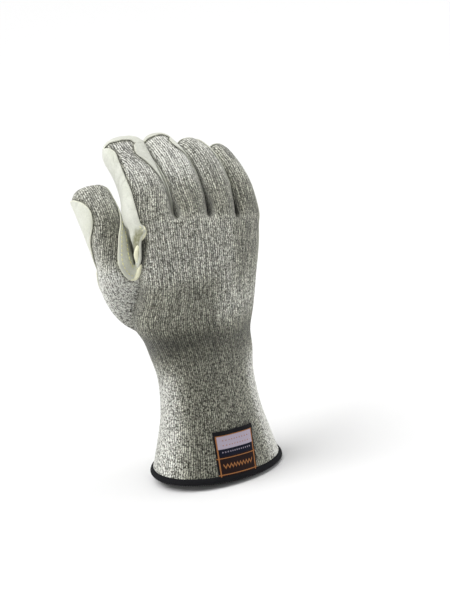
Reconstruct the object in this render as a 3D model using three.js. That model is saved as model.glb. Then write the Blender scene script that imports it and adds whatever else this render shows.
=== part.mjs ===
// A right-hand work glove, worn shape: a seamless knitted glove with a long cuff, a leather facing on
// the palm side of the hand and fingers, a separate leather facing on the thumb, a bound hem and a label.
// Millimetres. +Z runs up the forearm to the fingers, the back of the hand faces -Y, the thumb is at -X.
// The origin is at the middle of the cuff mouth, level with the lower edge of the hem.
//
// One net of quads describes the cloth's outer face: a ring of columns round the cuff and hand, which
// divides at the top into four finger tubes, and a hole in its thumb side, where the thumb tube starts.
// Each piece is a part of that net, set off along its normals by a named distance and closed to a solid.
import * as THREE from "three";

// Thicknesses and clearances
const KNIT_WALL = 1.6;
const LEATHER_THICK = 1.0;
const LAYER_GAP = 0.3;
const SEAM_INSET = 0.2;
const HEM_THICK = 1.1;
const HEM_HEIGHT = 4.6;
const LABEL_THICK = 0.6;

// Columns of the net: over the back (and the palm) of one finger, and over the side of a finger
const BACK_COLS = 4;
const SIDE_COLS = 3;
const PALM_START = 4 * BACK_COLS + SIDE_COLS;
const THUMB_SIDE = 8 * BACK_COLS + SIDE_COLS;
const RING = 8 * BACK_COLS + 2 * SIDE_COLS;

// Sections of cuff and hand, from the hem up. a: half width; back, palm: half depths to -Y and +Y;
// square: power of the oval; arch: how much higher the middle of the ring is than its ends;
// pitch: degrees the ring tips down to the palm; slope: its fall to the little finger's side;
// p1..p4: degrees round the oval (0 thumb side, 90 back) where back, far side, palm, near side start.
const SECTIONS = table(["z", "x", "y", "a", "back", "palm", "square", "arch", "pitch", "slope",
  "p1", "p2", "p3", "p4"], [
  [1.5, 0.0, 0.0, 46.9, 31.0, 31.5, 2.1, 0, 0, 0.05, -12, 170, 222, 300],
  [21, 0.0, 0.0, 41.5, 27.6, 27.8, 2.1, 0, 0, 0.05, -12, 170, 222, 300],
  [44, -0.3, 0.0, 36.1, 25.0, 25.0, 2.1, 0, 0, 0.05, -12, 170, 222, 300],
  [65, -1.0, 0.0, 34.5, 23.5, 23.5, 2.1, 0, 0, 0.05, -12, 170, 222, 300],
  [84, -2.0, 0.0, 36.4, 22.5, 23.0, 2.1, 0, 0, 0.05, -12, 170, 221, 300],
  [98, -3.8, 0.5, 38.5, 21.0, 23.0, 2.1, 0, 0, 0.05, -11, 170, 219, 300],
  [115, -5.0, 1.0, 43.4, 19.4, 22.6, 2.15, 0, 2, 0.05, -10, 168, 214, 303],
  [136, 0.9, 1.5, 41.8, 17.8, 21.0, 2.2, 0.5, 6, 0.07, -8, 165, 209, 306],
  [152, 3.0, 2.2, 42.6, 16.9, 19.2, 2.25, 1, 12, 0.11, 5, 163, 204, 313],
  [166, 3.9, 3.6, 43.8, 16.0, 17.0, 2.3, 1.6, 19, 0.16, 20, 162, 200, 324],
  [178, 4.6, 6.2, 45.0, 14.8, 15.2, 2.4, 2, 26, 0.2, 30, 162, 198, 331],
]);

// Heights of the net's rings, the ring where the leather starts, and the rings of the thumb's hole
const RING_HEIGHTS = [1.5, 9, 21, 38, 56, 75, 91, 99, 108, 119, 130, 141, 152, 160, 168, 176.4];
const LEATHER_FROM = 7;
const THUMB_FROM = 8;
const THUMB_TO = THUMB_FROM + BACK_COLS;
// Shares of the back's width that the four fingers take, and how far the cloth rises between two
const FINGER_SHARES = [0, 0.285, 0.566, 0.79, 1];
const CROTCH_RISE = 3.5;
// Share of its thickness that the leather keeps where it is pressed in a crotch
const CROTCH_PRESS = 0.5;

// Centre lines of the fingers and thumb: a is the half width, b the half depth there
const LINE = ["x", "y", "z", "a", "b"];
const FINGERS = {
  index: table(LINE, [
    [-28.4, 7, 182.5, 13.4, 12.6], [-28.0, 11, 189.4, 13.9, 12.3], [-26.3, 18.5, 200.0, 13.2, 11.8],
    [-26.6, 29, 212.6, 12.6, 11.2], [-28.3, 41, 221.6, 12.4, 10.6], [-28.3, 50.5, 225.0, 12.4, 10.0]]),
  middle: table(LINE, [
    [1.1, 6.5, 177.5, 10.2, 12.4], [1.6, 11.5, 187.4, 10.5, 12.0], [1.3, 20, 201.6, 10.4, 11.5],
    [-0.1, 31, 213.4, 10.3, 11.0], [-2.3, 43, 221.0, 10.3, 10.4], [-2.7, 52.5, 223.4, 10.0, 9.8]]),
  ring: table(LINE, [
    [22.9, 6, 174.5, 8.7, 12.0], [24.0, 11.5, 185.6, 8.8, 11.6], [23.8, 20, 199.6, 8.8, 11.1],
    [22.2, 31, 210.0, 8.6, 10.6], [20.0, 42, 216.0, 8.5, 10.0], [19.2, 51, 218.2, 8.4, 9.5]]),
  little: table(LINE, [
    [42.6, 7, 169.5, 7.9, 10.8], [43.6, 12, 178.6, 7.9, 10.5], [43.7, 20, 191.6, 8.0, 10.1],
    [42.8, 30, 201.6, 8.0, 9.6], [41.8, 39.5, 208.0, 8.0, 9.1], [41.8, 47, 210.6, 7.8, 8.6]]),
};
const THUMB = table(LINE, [
  [-39, 4, 127, 20, 18], [-48, 7, 137, 17, 16], [-51.6, 10, 147, 13.9, 14], [-52.9, 14, 159, 11.6, 12.9],
  [-53.8, 20, 174, 12.2, 12.4], [-54.4, 28, 187, 13.2, 11.4], [-54, 36.5, 195.5, 13, 10.2],
  [-53.2, 43.5, 200, 12.2, 9.2]]);
// Ways in which the cloth leaves the hand into the thumb: at its back, its crotch, its palm and its
// outer side, for the tube ring where the thumb's own section is reached
const THUMB_LEAVES = [[-0.9, 0.1, 0.3], [-2, 0, -0.2], [-0.85, -0.1, 0.5], [-0.75, 0.05, 0.6]];
const THUMB_CLEAR = 4;
// How far the ball of the thumb swells out to -X, in the same order
const THUMB_SWELL = [1.2, 0, 1.5, 3.6];
// Degrees round each tube where the knitted back starts and ends, at its base, its middle and its tip,
// and where the palm side meets the near side
const BACK_EDGES = {
  index: { start: [52, 62, 52], end: [138, 145, 112], near: 325 },
  middle: { start: [42, 18, 38], end: [138, 150, 132], near: 325 },
  ring: { start: [42, 12, 24], end: [138, 152, 145], near: 325 },
  little: { start: [42, 10, 16], end: [146, 155, 150], near: 325 },
  thumb: { start: [-12, -48, 48], end: [133, 133, 165], near: 297 },
};
// On the thumb's back, the leather of the crotch takes one more column up to this ring; on its outer
// side, the leather keeps to fewer columns near the base: up to the ring, the last column it takes
const WEB_RINGS = 7;
const THUMB_HEM = [[2, 11], [4, 12], [99, 13]];
// Rings as shares of a tube's length; from the tip ring on, the leather closes over a finger's back
const FINGER_RINGS = [0, 0.06, 0.13, 0.23, 0.34, 0.46, 0.58, 0.69, 0.79, 0.87, 0.93, 0.97, 0.99];
const THUMB_RINGS = [0, 0.1, 0.2, 0.3, 0.4, 0.5, 0.6, 0.7, 0.79, 0.87, 0.93, 0.97, 0.99];
const TIP_RING = { index: 10, middle: 10, ring: 11, little: 11 };
const TIP_LENGTH = 13;
// Power of a tube's oval at its base and at its tip, where the leather facing makes it boxy
const TUBE_SQUARE = [2, 2.5];

// Soft folds, each a dent across the palm side of the hand: a band through (x, z), turned by an angle
const PALM_FOLDS = table(["x", "z", "turn", "long", "wide", "deep"], [
  [8, 168, -8, 34, 7, 1.6],
  [4, 150, 24, 30, 8, 2.2],
  [-14, 134, 62, 26, 8, 2.4],
  [20, 128, -38, 22, 8, 1.6],
  [2, 108, 4, 30, 7, 1.2],
]);
// Folds at the joints, as shares of the finger's length, on its palm side
const JOINT_FOLDS = table(["at", "wide", "deep"], [[0.34, 0.07, 1.5], [0.69, 0.07, 1.2]]);
// Gathers at the wrist: heights of the soft rings that the cloth falls into there
const WRIST_GATHERS = table(["z", "wide", "deep"], [[75, 9, 0.5], [100, 9, 0.7]]);

const rad = (d) => (d * Math.PI) / 180;
const soft = (t) => { const u = Math.min(Math.max(t, 0), 1); return u * u * (3 - 2 * u); };
const add = (p, q, k = 1) => [p[0] + q[0] * k, p[1] + q[1] * k, p[2] + q[2] * k];
const sub = (p, q) => add(p, q, -1);
const dot = (p, q) => p[0] * q[0] + p[1] * q[1] + p[2] * q[2];
const cross = (p, q) => [p[1] * q[2] - p[2] * q[1], p[2] * q[0] - p[0] * q[2], p[0] * q[1] - p[1] * q[0]];
const unit = (p) => { const l = Math.hypot(...p) || 1; return [p[0] / l, p[1] / l, p[2] / l]; };
const mix = (p, q, t) => p.map((v, i) => v + (q[i] - v) * t);

// Rows with named columns
function table(names, rows) {
  return rows.map((row) => Object.fromEntries(names.map((name, i) => [name, row[i]])));
}

// A smooth curve through the knots: cubic pieces with the slopes of a parabola through neighbours
function curve(knots, values, t) {
  const n = knots.length;
  const step = knots.slice(1).map((k, i) => k - knots[i]);
  const rise = step.map((h, i) => (values[i + 1] - values[i]) / h);
  const slope = (i) => (i === 0 ? rise[0] : i === n - 1 ? rise[n - 2]
    : (rise[i - 1] * step[i] + rise[i] * step[i - 1]) / (step[i - 1] + step[i]));
  let i = 0;
  while (i < n - 2 && t >= knots[i + 1]) i += 1;
  const h = step[i];
  const u = Math.min(Math.max((t - knots[i]) / h, 0), 1);
  return (2 * u ** 3 - 3 * u ** 2 + 1) * values[i] + (u ** 3 - 2 * u ** 2 + u) * h * slope(i)
    + (-2 * u ** 3 + 3 * u ** 2) * values[i + 1] + (u ** 3 - u ** 2) * h * slope(i + 1);
}

// Value of a broken line at t
function along(knots, values, t) {
  let i = 0;
  while (i < knots.length - 2 && t > knots[i + 1]) i += 1;
  const u = (t - knots[i]) / (knots[i + 1] - knots[i]);
  return values[i] + (values[i + 1] - values[i]) * Math.min(Math.max(u, 0), 1);
}

// One ring of cuff or hand: an oval, walked by arc length so that every zone's columns are even
function handRing(z) {
  const heights = SECTIONS.map((row) => row.z);
  const s = Object.fromEntries(Object.keys(SECTIONS[0]).map((key) =>
    [key, curve(heights, SECTIONS.map((row) => row[key]), z)]));
  const turn = [], px = [], py = [], arc = [0];
  for (let i = 0; i <= 1080; i += 1) {
    const phi = -90 + i / 2, c = Math.cos(rad(phi)), q = Math.sin(rad(phi));
    turn.push(phi);
    px.push(s.x - s.a * Math.sign(c) * Math.abs(c) ** (2 / s.square));
    py.push(s.y - (q > 0 ? s.back : s.palm) * Math.sign(q) * Math.abs(q) ** (2 / s.square));
    if (i > 0) arc.push(arc[i - 1] + Math.hypot(px[i] - px[i - 1], py[i] - py[i - 1]));
  }
  const [l1, l2, l3, l4, l5] = [s.p1, s.p2, s.p3, s.p4, s.p1 + 360].map((p) => along(turn, arc, p));
  const share = (i) => {
    const f = Math.min(Math.floor(i / BACK_COLS), 3);
    return FINGER_SHARES[f] + (FINGER_SHARES[f + 1] - FINGER_SHARES[f]) * (i / BACK_COLS - f);
  };
  const ring = [];
  for (let j = 0; j < RING; j += 1) {
    let at;
    if (j <= 4 * BACK_COLS) at = l1 + (l2 - l1) * share(j);
    else if (j <= PALM_START) at = l2 + (l3 - l2) * ((j - 4 * BACK_COLS) / SIDE_COLS);
    else if (j <= THUMB_SIDE) at = l3 + (l4 - l3) * (1 - share(THUMB_SIDE - j));
    else at = l4 + (l5 - l4) * ((j - THUMB_SIDE) / SIDE_COLS);
    const x = along(arc, px, at), y = along(arc, py, at);
    const height = z + s.arch * (1 - ((x - s.x) / s.a) ** 2) - Math.tan(rad(s.pitch)) * (y - s.y)
      - s.slope * (x - s.x);
    ring.push([x, y, height]);
  }
  return ring;
}

// Rings of a tube round a centre line; turn says from which share of it, and over how much, the edges
// of its back change to their values at the tip, and blunt is the power of the rounded tip
function tubeRings(line, shares, edges, turn, across, blunt) {
  const points = line.map((row) => [row.x, row.y, row.z]);
  const arc = [0];
  for (let i = 1; i < points.length; i += 1) {
    arc.push(arc[i - 1] + Math.hypot(...sub(points[i], points[i - 1])));
  }
  const length = arc[arc.length - 1];
  const knots = arc.map((l) => l / length);
  const value = (key, t) => curve(knots, line.map((row) => row[key]), t);
  const centre = (t) => [value("x", t), value("y", t), value("z", t)];
  const rings = shares.map((q) => {
    const way = unit(sub(centre(Math.min(q + 1e-3, 1)), centre(Math.max(q - 1e-3, 0))));
    const wide = unit(add(across, way, -dot(across, way)));
    const deep = cross(wide, way);
    const t = Math.min(Math.max((q - 1) * length / TIP_LENGTH + 1, 0), 1);
    const cap = (1 - t ** blunt) ** (1 / blunt);
    const power = 2 / (TUBE_SQUARE[0] + (TUBE_SQUARE[1] - TUBE_SQUARE[0]) * soft((q - 0.4) / 0.4));
    const [start, end] = [edges.start, edges.end].map(([base, middle, tip]) =>
      base + (middle - base) * soft(q / 0.3) + (tip - middle) * soft((q - turn.from) / turn.over));
    const marks = [[start, end, BACK_COLS], [end, 360 - end, SIDE_COLS],
      [360 - end, edges.near, BACK_COLS], [edges.near, start + 360, SIDE_COLS]];
    const ring = [];
    for (const [from, to, count] of marks) {
      for (let i = 0; i < count; i += 1) {
        const phi = rad(from + ((to - from) * i) / count), c = Math.cos(phi), d = Math.sin(phi);
        const out = add(add([0, 0, 0], wide, -value("a", q) * cap * Math.sign(c) * Math.abs(c) ** power),
          deep, value("b", q) * cap * Math.sign(d) * Math.abs(d) ** power);
        ring.push(add(centre(q), out));
      }
    }
    return { ring, way, q, centre: centre(q), s: q * length };
  });
  return { rings, top: add(centre(1), sub(centre(1), centre(0.99)), 0.35) };
}

// Depth of the soft folds at a point of the hand's palm side
function foldDepth(x, z) {
  let depth = 0;
  for (const fold of PALM_FOLDS) {
    const c = Math.cos(rad(fold.turn)), q = Math.sin(rad(fold.turn));
    const u = ((x - fold.x) * c + (z - fold.z) * q) / fold.long;
    const v = (-(x - fold.x) * q + (z - fold.z) * c) / fold.wide;
    depth += fold.deep * Math.exp(-(u ** 4) - v ** 2);
  }
  return depth;
}

// The whole net: points, faces (with the zone, row and column of each) and normals
function makeNet() {
  const points = [], faces = [], dents = [], pressed = [];
  const addPoint = (p, dent = 0, press = 1) => {
    dents.push(dent);
    pressed.push(press);
    return points.push(p) - 1;
  };
  const rows = RING_HEIGHTS.map((z, k) => handRing(z).map((p, j) => {
    if (k > THUMB_FROM && k < THUMB_TO && j > THUMB_SIDE) return -1;
    const side = Math.sin((Math.PI * (j - PALM_START)) / (THUMB_SIDE - PALM_START));
    let dent = j > PALM_START && j < THUMB_SIDE ? foldDepth(p[0], z) * Math.min(1, 1.6 * side) : 0;
    for (const g of WRIST_GATHERS) dent += g.deep * Math.exp(-(((z - g.z) / g.wide) ** 2));
    return addPoint(p, dent);
  }));
  const last = rows.length - 1;
  for (let k = 0; k < last; k += 1) {
    for (let j = 0; j < RING; j += 1) {
      if (k >= THUMB_FROM && k < THUMB_TO && j >= THUMB_SIDE) continue;
      const n = (j + 1) % RING;
      const loop = [rows[k][j], rows[k][n], rows[k + 1][n], rows[k + 1][j]];
      faces.push({ zone: "hand", row: k, col: j, loop });
    }
  }
  const top = rows[last];
  const between = [1, 2, 3].map((i) => {
    const from = top[i * BACK_COLS], to = top[THUMB_SIDE - i * BACK_COLS];
    const inner = [];
    for (let c = 1; c < SIDE_COLS; c += 1) {
      const t = c / SIDE_COLS;
      const rise = [0, 0, CROTCH_RISE * (1 - (2 * t - 1) ** 2)];
      inner.push(addPoint(add(mix(points[from], points[to], t), rise), 0, CROTCH_PRESS));
    }
    return [from, ...inner, to];
  });
  const span = (from, to) => Array.from({ length: Math.abs(to - from) + 1 },
    (unused, i) => top[(from + Math.sign(to - from) * i) % RING]);
  const borders = [span(RING, THUMB_SIDE), ...between, span(4 * BACK_COLS, PALM_START)];
  const open = (list) => list.slice(0, -1);

  // A tube that starts at a loop of the net; start gives the points of its first rings
  const addTube = (zone, loop, tube, start, joints) => {
    let before = loop;
    for (let k = 1; k < tube.rings.length; k += 1) {
      const now = tube.rings[k].ring.map((target, j) => {
        let dent = 0;
        if (j > BACK_COLS + SIDE_COLS && j < 2 * BACK_COLS + SIDE_COLS) {
          for (const f of joints) dent += f.deep * Math.exp(-(((tube.rings[k].q - f.at) / f.wide) ** 2));
        }
        const inCrotch = zone === "thumb" ? k < 3 && j >= BACK_COLS - 1 && j <= BACK_COLS + SIDE_COLS
          : k === 1 && j >= BACK_COLS;
        const press = inCrotch ? (1 + CROTCH_PRESS) / 2 : 1;
        return addPoint(start(tube.rings, k, j, target, points[loop[j]]), dent, press);
      });
      for (let j = 0; j < loop.length; j += 1) {
        const n = (j + 1) % loop.length;
        faces.push({ zone, row: k - 1, col: j, loop: [before[j], before[n], now[n], now[j]] });
      }
      before = now;
    }
    const pole = addPoint(tube.top);
    for (let j = 0; j < loop.length; j += 1) {
      const tip = [before[j], before[(j + 1) % loop.length], pole];
      faces.push({ zone, row: tube.rings.length - 1, col: j, loop: tip });
    }
  };
  // A finger's first rings: the side walls part quickly, the back and palm change slowly
  const fingerStart = (rings, k, j, target, base) => {
    const { s, centre } = rings[k];
    const c = j % (BACK_COLS + SIDE_COLS);
    const edge = c <= BACK_COLS ? Math.abs((2 * c) / BACK_COLS - 1) ** 2 : 1;
    const u = Math.min(s / 5, 1);
    const w = edge * Math.sqrt(1 - (1 - u) ** 2) + (1 - edge) * soft(s / 22);
    return mix(add(base, sub(centre, rings[0].centre)), target, w);
  };
  // The thumb's first rings: a curve from the hole's edge to the ring where the thumb is clear
  const thumbStart = (rings, k, j, target, base) => {
    if (k >= THUMB_CLEAR) return target;
    const goal = rings[THUMB_CLEAR], t = goal.s ? rings[k].s / goal.s : 0;
    const zone = (j + 1.5) / 3.5, f = Math.floor(zone);
    const leave = mix(THUMB_LEAVES[(f + 3) % 4], THUMB_LEAVES[f % 4], zone - f);
    const low = THUMB_SWELL[(f + 3) % 4], high = THUMB_SWELL[f % 4];
    const swell = (low + (high - low) * (zone - f)) * 6.75 * t * t * (1 - t);
    const long = Math.hypot(...sub(goal.ring[j], base));
    const h = 3 * t ** 2 - 2 * t ** 3, h0 = (t ** 3 - 2 * t ** 2 + t) * long, h1 = (t ** 3 - t ** 2) * long;
    return add(add(add(mix(base, goal.ring[j], h), leave, h0), goal.way, h1), [-swell, 0, 0]);
  };
  Object.entries(FINGERS).forEach(([zone, line], i) => {
    const back = span(i * BACK_COLS, (i + 1) * BACK_COLS);
    const palm = span(THUMB_SIDE - (i + 1) * BACK_COLS, THUMB_SIDE - i * BACK_COLS);
    const sides = [back, borders[i + 1], palm, [...borders[i]].reverse()];
    const loop = sides.flatMap(open);
    const tube = tubeRings(line, FINGER_RINGS, BACK_EDGES[zone], { from: 0.5, over: 0.35 }, [1, 0, 0], 2.3);
    addTube(zone, loop, tube, fingerStart, JOINT_FOLDS);
  });
  const thumbLoop = [];
  for (let k = THUMB_FROM; k < THUMB_TO; k += 1) thumbLoop.push(rows[k][0]);
  for (let j = RING; j > THUMB_SIDE; j -= 1) thumbLoop.push(rows[THUMB_TO][j % RING]);
  for (let k = THUMB_TO; k > THUMB_FROM; k -= 1) thumbLoop.push(rows[k][THUMB_SIDE]);
  for (let j = THUMB_SIDE; j < RING; j += 1) thumbLoop.push(rows[THUMB_FROM][j]);
  for (let j = BACK_COLS - 1; j <= BACK_COLS + SIDE_COLS; j += 1) pressed[thumbLoop[j]] = CROTCH_PRESS;
  const turn = { from: 0.3, over: 0.42 };
  const thumb = tubeRings(THUMB, THUMB_RINGS, BACK_EDGES.thumb, turn, [1, 0.15, 0], 3.2);
  addTube("thumb", thumbLoop, thumb, thumbStart, [{ at: 0.7, wide: 0.08, deep: 1.2 }]);

  const net = { points, faces, rows, pressed };
  const flat = pointNormals(net);
  net.points = points.map((p, i) => add(p, flat[i], -dents[i]));
  net.normals = pointNormals(net);
  return net;
}

// Normals of the net's points, weighted by the angle of each face; along the mouth they stay level
function pointNormals(net) {
  const normals = net.points.map(() => [0, 0, 0]);
  for (const { loop } of net.faces) {
    loop.forEach((i, k) => {
      const before = sub(net.points[loop[(k + loop.length - 1) % loop.length]], net.points[i]);
      const after = sub(net.points[loop[(k + 1) % loop.length]], net.points[i]);
      const angle = Math.acos(Math.min(Math.max(dot(unit(before), unit(after)), -1), 1));
      normals[i] = add(normals[i], unit(cross(after, before)), angle);
    });
  }
  for (const i of net.rows[0]) normals[i][2] = 0;
  return normals.map(unit);
}

// Triangles of a closed solid: the chosen faces at an inner and an outer distance from the net, walls
// along their border, and that border drawn in by an inset
function thicken(net, faces, inner, outer, inset) {
  const edges = new Map();
  for (const { loop } of faces) {
    loop.forEach((a, i) => {
      const b = loop[(i + 1) % loop.length];
      edges.set(`${a}>${b}`, [a, b]);
    });
  }
  const border = [...edges.values()].filter(([a, b]) => !edges.has(`${b}>${a}`));
  const pull = new Map();
  for (const [a, b] of border) {
    for (const i of [a, b]) {
      const way = unit(cross(net.normals[i], sub(net.points[b], net.points[a])));
      pull.set(i, add(pull.get(i) ?? [0, 0, 0], way));
    }
  }
  const place = (i, d) => {
    const far = inner + (d - inner) * (net.pressed?.[i] ?? 1);
    const p = add(net.points[i], net.normals[i], far);
    return inset && pull.has(i) ? add(p, unit(pull.get(i)), inset) : p;
  };
  const triangles = [];
  const addLoop = (loop, d, flip) => {
    const p = loop.map((i) => place(i, d));
    const q = loop.map((i) => net.points[i]);
    const short = p.length === 4 && Math.hypot(...sub(q[0], q[2])) < Math.hypot(...sub(q[1], q[3]));
    const parts = p.length === 3 ? [p] : short ? [[p[0], p[1], p[2]], [p[0], p[2], p[3]]]
      : [[p[0], p[1], p[3]], [p[1], p[2], p[3]]];
    for (const t of parts) triangles.push(flip ? [t[0], t[2], t[1]] : t);
  };
  for (const { loop } of faces) {
    addLoop(loop, outer, false);
    addLoop(loop, inner, true);
  }
  for (const [a, b] of border) {
    const p = [place(a, inner), place(b, inner), place(b, outer), place(a, outer)];
    triangles.push([p[0], p[1], p[2]], [p[0], p[2], p[3]]);
  }
  return triangles;
}

function makeMesh(name, triangles, colour, roughness) {
  const geometry = new THREE.BufferGeometry();
  geometry.setAttribute("position", new THREE.Float32BufferAttribute(triangles.flat(2), 3));
  geometry.computeVertexNormals();
  const material = new THREE.MeshStandardMaterial({ color: colour, roughness, metalness: 0 });
  const mesh = new THREE.Mesh(geometry, material);
  mesh.name = name;
  return mesh;
}

function knitLiner(net) {
  return makeMesh("knit_liner", thicken(net, net.faces, -KNIT_WALL, 0, 0), 0x959593, 0.95);
}

// The palm facing: the palm of the hand, palm and sides of the fingers, and their tips
function leatherPalm(net) {
  const faces = net.faces.filter(({ zone, row, col }) => {
    if (zone === "thumb") return false;
    if (zone !== "hand") {
      if (row >= TIP_RING[zone]) return true;
      return zone === "little" ? col > BACK_COLS : col >= BACK_COLS;
    }
    if (row < LEATHER_FROM || col <= 4 * BACK_COLS) return false;
    return row >= THUMB_TO || col < THUMB_SIDE;
  });
  const outer = LAYER_GAP + LEATHER_THICK;
  return makeMesh("leather_palm", thicken(net, faces, LAYER_GAP, outer, SEAM_INSET), 0xe6e8de, 0.8);
}

function leatherThumb(net) {
  const first = (row) => (row === 0 ? BACK_COLS + 1 : row < WEB_RINGS ? BACK_COLS - 1 : BACK_COLS);
  const last = (row) => THUMB_HEM.find(([until]) => row < until)[1];
  const faces = net.faces.filter(({ zone, row, col }) =>
    zone === "thumb" && col >= first(row) && col <= last(row));
  const outer = LAYER_GAP + LEATHER_THICK;
  return makeMesh("leather_thumb", thicken(net, faces, LAYER_GAP, outer, SEAM_INSET), 0xe2e4d8, 0.8);
}

// The hem binding: a channel that wraps the cuff's edge, drawn along the mouth's ring
function hemBinding(net) {
  const inside = -KNIT_WALL - LAYER_GAP, low = RING_HEIGHTS[0] - LAYER_GAP;
  const outline = [
    [LAYER_GAP + HEM_THICK, 0], [LAYER_GAP + HEM_THICK, HEM_HEIGHT], [LAYER_GAP, HEM_HEIGHT],
    [LAYER_GAP, low], [inside, low], [inside, HEM_HEIGHT],
    [inside - HEM_THICK, HEM_HEIGHT], [inside - HEM_THICK, 0],
  ];
  const rise = net.rows[1].map((i, j) => sub(net.points[i], net.points[net.rows[0][j]]));
  const rings = outline.map(([d, z]) => net.rows[0].map((i, j) => {
    const p = add(net.points[i], net.normals[i], d);
    const k = (z - RING_HEIGHTS[0]) / rise[j][2];
    return k > 0 ? add(p, rise[j], k) : add(p, [0, 0, 1], z - RING_HEIGHTS[0]);
  }));
  const triangles = [];
  rings.forEach((ring, r) => {
    const next = rings[(r + 1) % rings.length];
    ring.forEach((p, j) => {
      const n = (j + 1) % RING;
      triangles.push([p, ring[n], next[n]], [p, next[n], next[j]]);
    });
  });
  return makeMesh("hem_binding", triangles, 0x1a1a1c, 0.9);
}

// The woven label, a thin patch that lies on the back of the cuff, just above the hem
const LABEL_COLS = { from: 6.6, count: 4, step: 1, lean: -0.16, widen: 0.075 };
const LABEL_ROWS = [5.1, 9, 15, 21, 29, 36.5];

function cuffLabel(net) {
  // The point of the faceted cuff at a column share and a height, with its normal
  const spot = (column, z) => {
    const k = z < RING_HEIGHTS[1] ? 0 : z < RING_HEIGHTS[2] ? 1 : 2;
    const u = (z - RING_HEIGHTS[k]) / (RING_HEIGHTS[k + 1] - RING_HEIGHTS[k]);
    const j = Math.floor(column), t = column - j;
    const take = (list, row) => mix(list[net.rows[row][j]], list[net.rows[row][j + 1]], t);
    return { p: mix(take(net.points, k), take(net.points, k + 1), u),
      n: unit(mix(take(net.normals, k), take(net.normals, k + 1), u)) };
  };
  const points = [], normals = [], rows = [], faces = [];
  for (const z of LABEL_ROWS) {
    const row = [];
    for (let c = 0; c <= LABEL_COLS.count; c += 1) {
      const up = (z - LABEL_ROWS[0]) / (LABEL_ROWS[LABEL_ROWS.length - 1] - LABEL_ROWS[0]);
      const column = LABEL_COLS.from + c * (LABEL_COLS.step + LABEL_COLS.widen * up) + LABEL_COLS.lean * up;
      const { p, n } = spot(column, z);
      normals.push(n);
      row.push(points.push(p) - 1);
    }
    rows.push(row);
  }
  for (let k = 0; k < rows.length - 1; k += 1) {
    for (let c = 0; c < LABEL_COLS.count; c += 1) {
      faces.push({ loop: [rows[k][c], rows[k][c + 1], rows[k + 1][c + 1], rows[k + 1][c]] });
    }
  }
  const patch = { points, normals };
  const outer = LAYER_GAP + 0.1 + LABEL_THICK;
  return makeMesh("cuff_label", thicken(patch, faces, LAYER_GAP + 0.1, outer, 0), 0x2a2a33, 0.7);
}

const net = makeNet();
const glove = new THREE.Group();
glove.name = "work_glove";
glove.add(knitLiner(net), leatherPalm(net), leatherThumb(net), hemBinding(net), cuffLabel(net));

export default glove;
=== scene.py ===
from math import radians

import bpy
import numpy as np
from mathutils import Matrix, Vector


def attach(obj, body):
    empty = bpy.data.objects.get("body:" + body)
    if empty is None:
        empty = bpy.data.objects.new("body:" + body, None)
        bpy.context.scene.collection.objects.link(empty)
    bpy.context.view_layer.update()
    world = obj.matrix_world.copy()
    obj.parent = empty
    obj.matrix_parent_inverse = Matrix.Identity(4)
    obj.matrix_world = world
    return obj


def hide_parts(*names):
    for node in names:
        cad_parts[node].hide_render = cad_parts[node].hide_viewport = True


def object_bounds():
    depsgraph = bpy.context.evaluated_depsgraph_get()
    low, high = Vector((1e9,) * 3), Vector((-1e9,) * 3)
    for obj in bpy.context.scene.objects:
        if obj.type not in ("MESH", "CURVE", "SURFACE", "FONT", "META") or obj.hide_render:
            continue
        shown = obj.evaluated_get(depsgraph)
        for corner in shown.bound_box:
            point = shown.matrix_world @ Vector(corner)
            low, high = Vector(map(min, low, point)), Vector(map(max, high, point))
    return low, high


# A right-hand work glove: a knitted liner, leather facings on palm and thumb, a bound hem and a label.
# The cloth is worked out in millimetres, in the construction's own frame, and put into meshes in metres.
bl_info = {
    "name": "Leather-palm work glove",
    "version": (1, 0, 0),
    "blender": (4, 5, 0),
    "location": "View3D > Sidebar > Glove",
    "description": "Builds the knit, leather, sewing, hem and label of a work glove round its frame",
    "category": "Add Mesh",
}

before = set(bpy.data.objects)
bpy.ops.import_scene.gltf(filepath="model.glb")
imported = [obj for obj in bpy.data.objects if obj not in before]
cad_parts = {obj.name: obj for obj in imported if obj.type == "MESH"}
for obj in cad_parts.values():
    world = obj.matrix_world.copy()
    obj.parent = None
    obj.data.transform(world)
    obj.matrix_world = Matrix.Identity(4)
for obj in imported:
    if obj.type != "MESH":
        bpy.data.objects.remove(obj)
CAD_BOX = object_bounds()
MM = 0.001

# Columns of the net: over the back of one finger and over its side; where the hand's palm and its near side
# start, and all round the hand; the same for a finger or thumb; and the steps in each column and row
BACK_COLS = 4
SIDE_COLS = 3
PALM_START = 4 * BACK_COLS + SIDE_COLS
THUMB_SIDE = 8 * BACK_COLS + SIDE_COLS
RING = 8 * BACK_COLS + 2 * SIDE_COLS
PALM_COL = BACK_COLS + SIDE_COLS
NEAR_COL = 2 * BACK_COLS + SIDE_COLS
TUBE = 2 * BACK_COLS + 2 * SIDE_COLS
FINE = 5


def table(names, rows):
    """Columns of numbers by their names."""
    return dict(zip(names.split(), np.array(rows, float).T))


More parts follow.
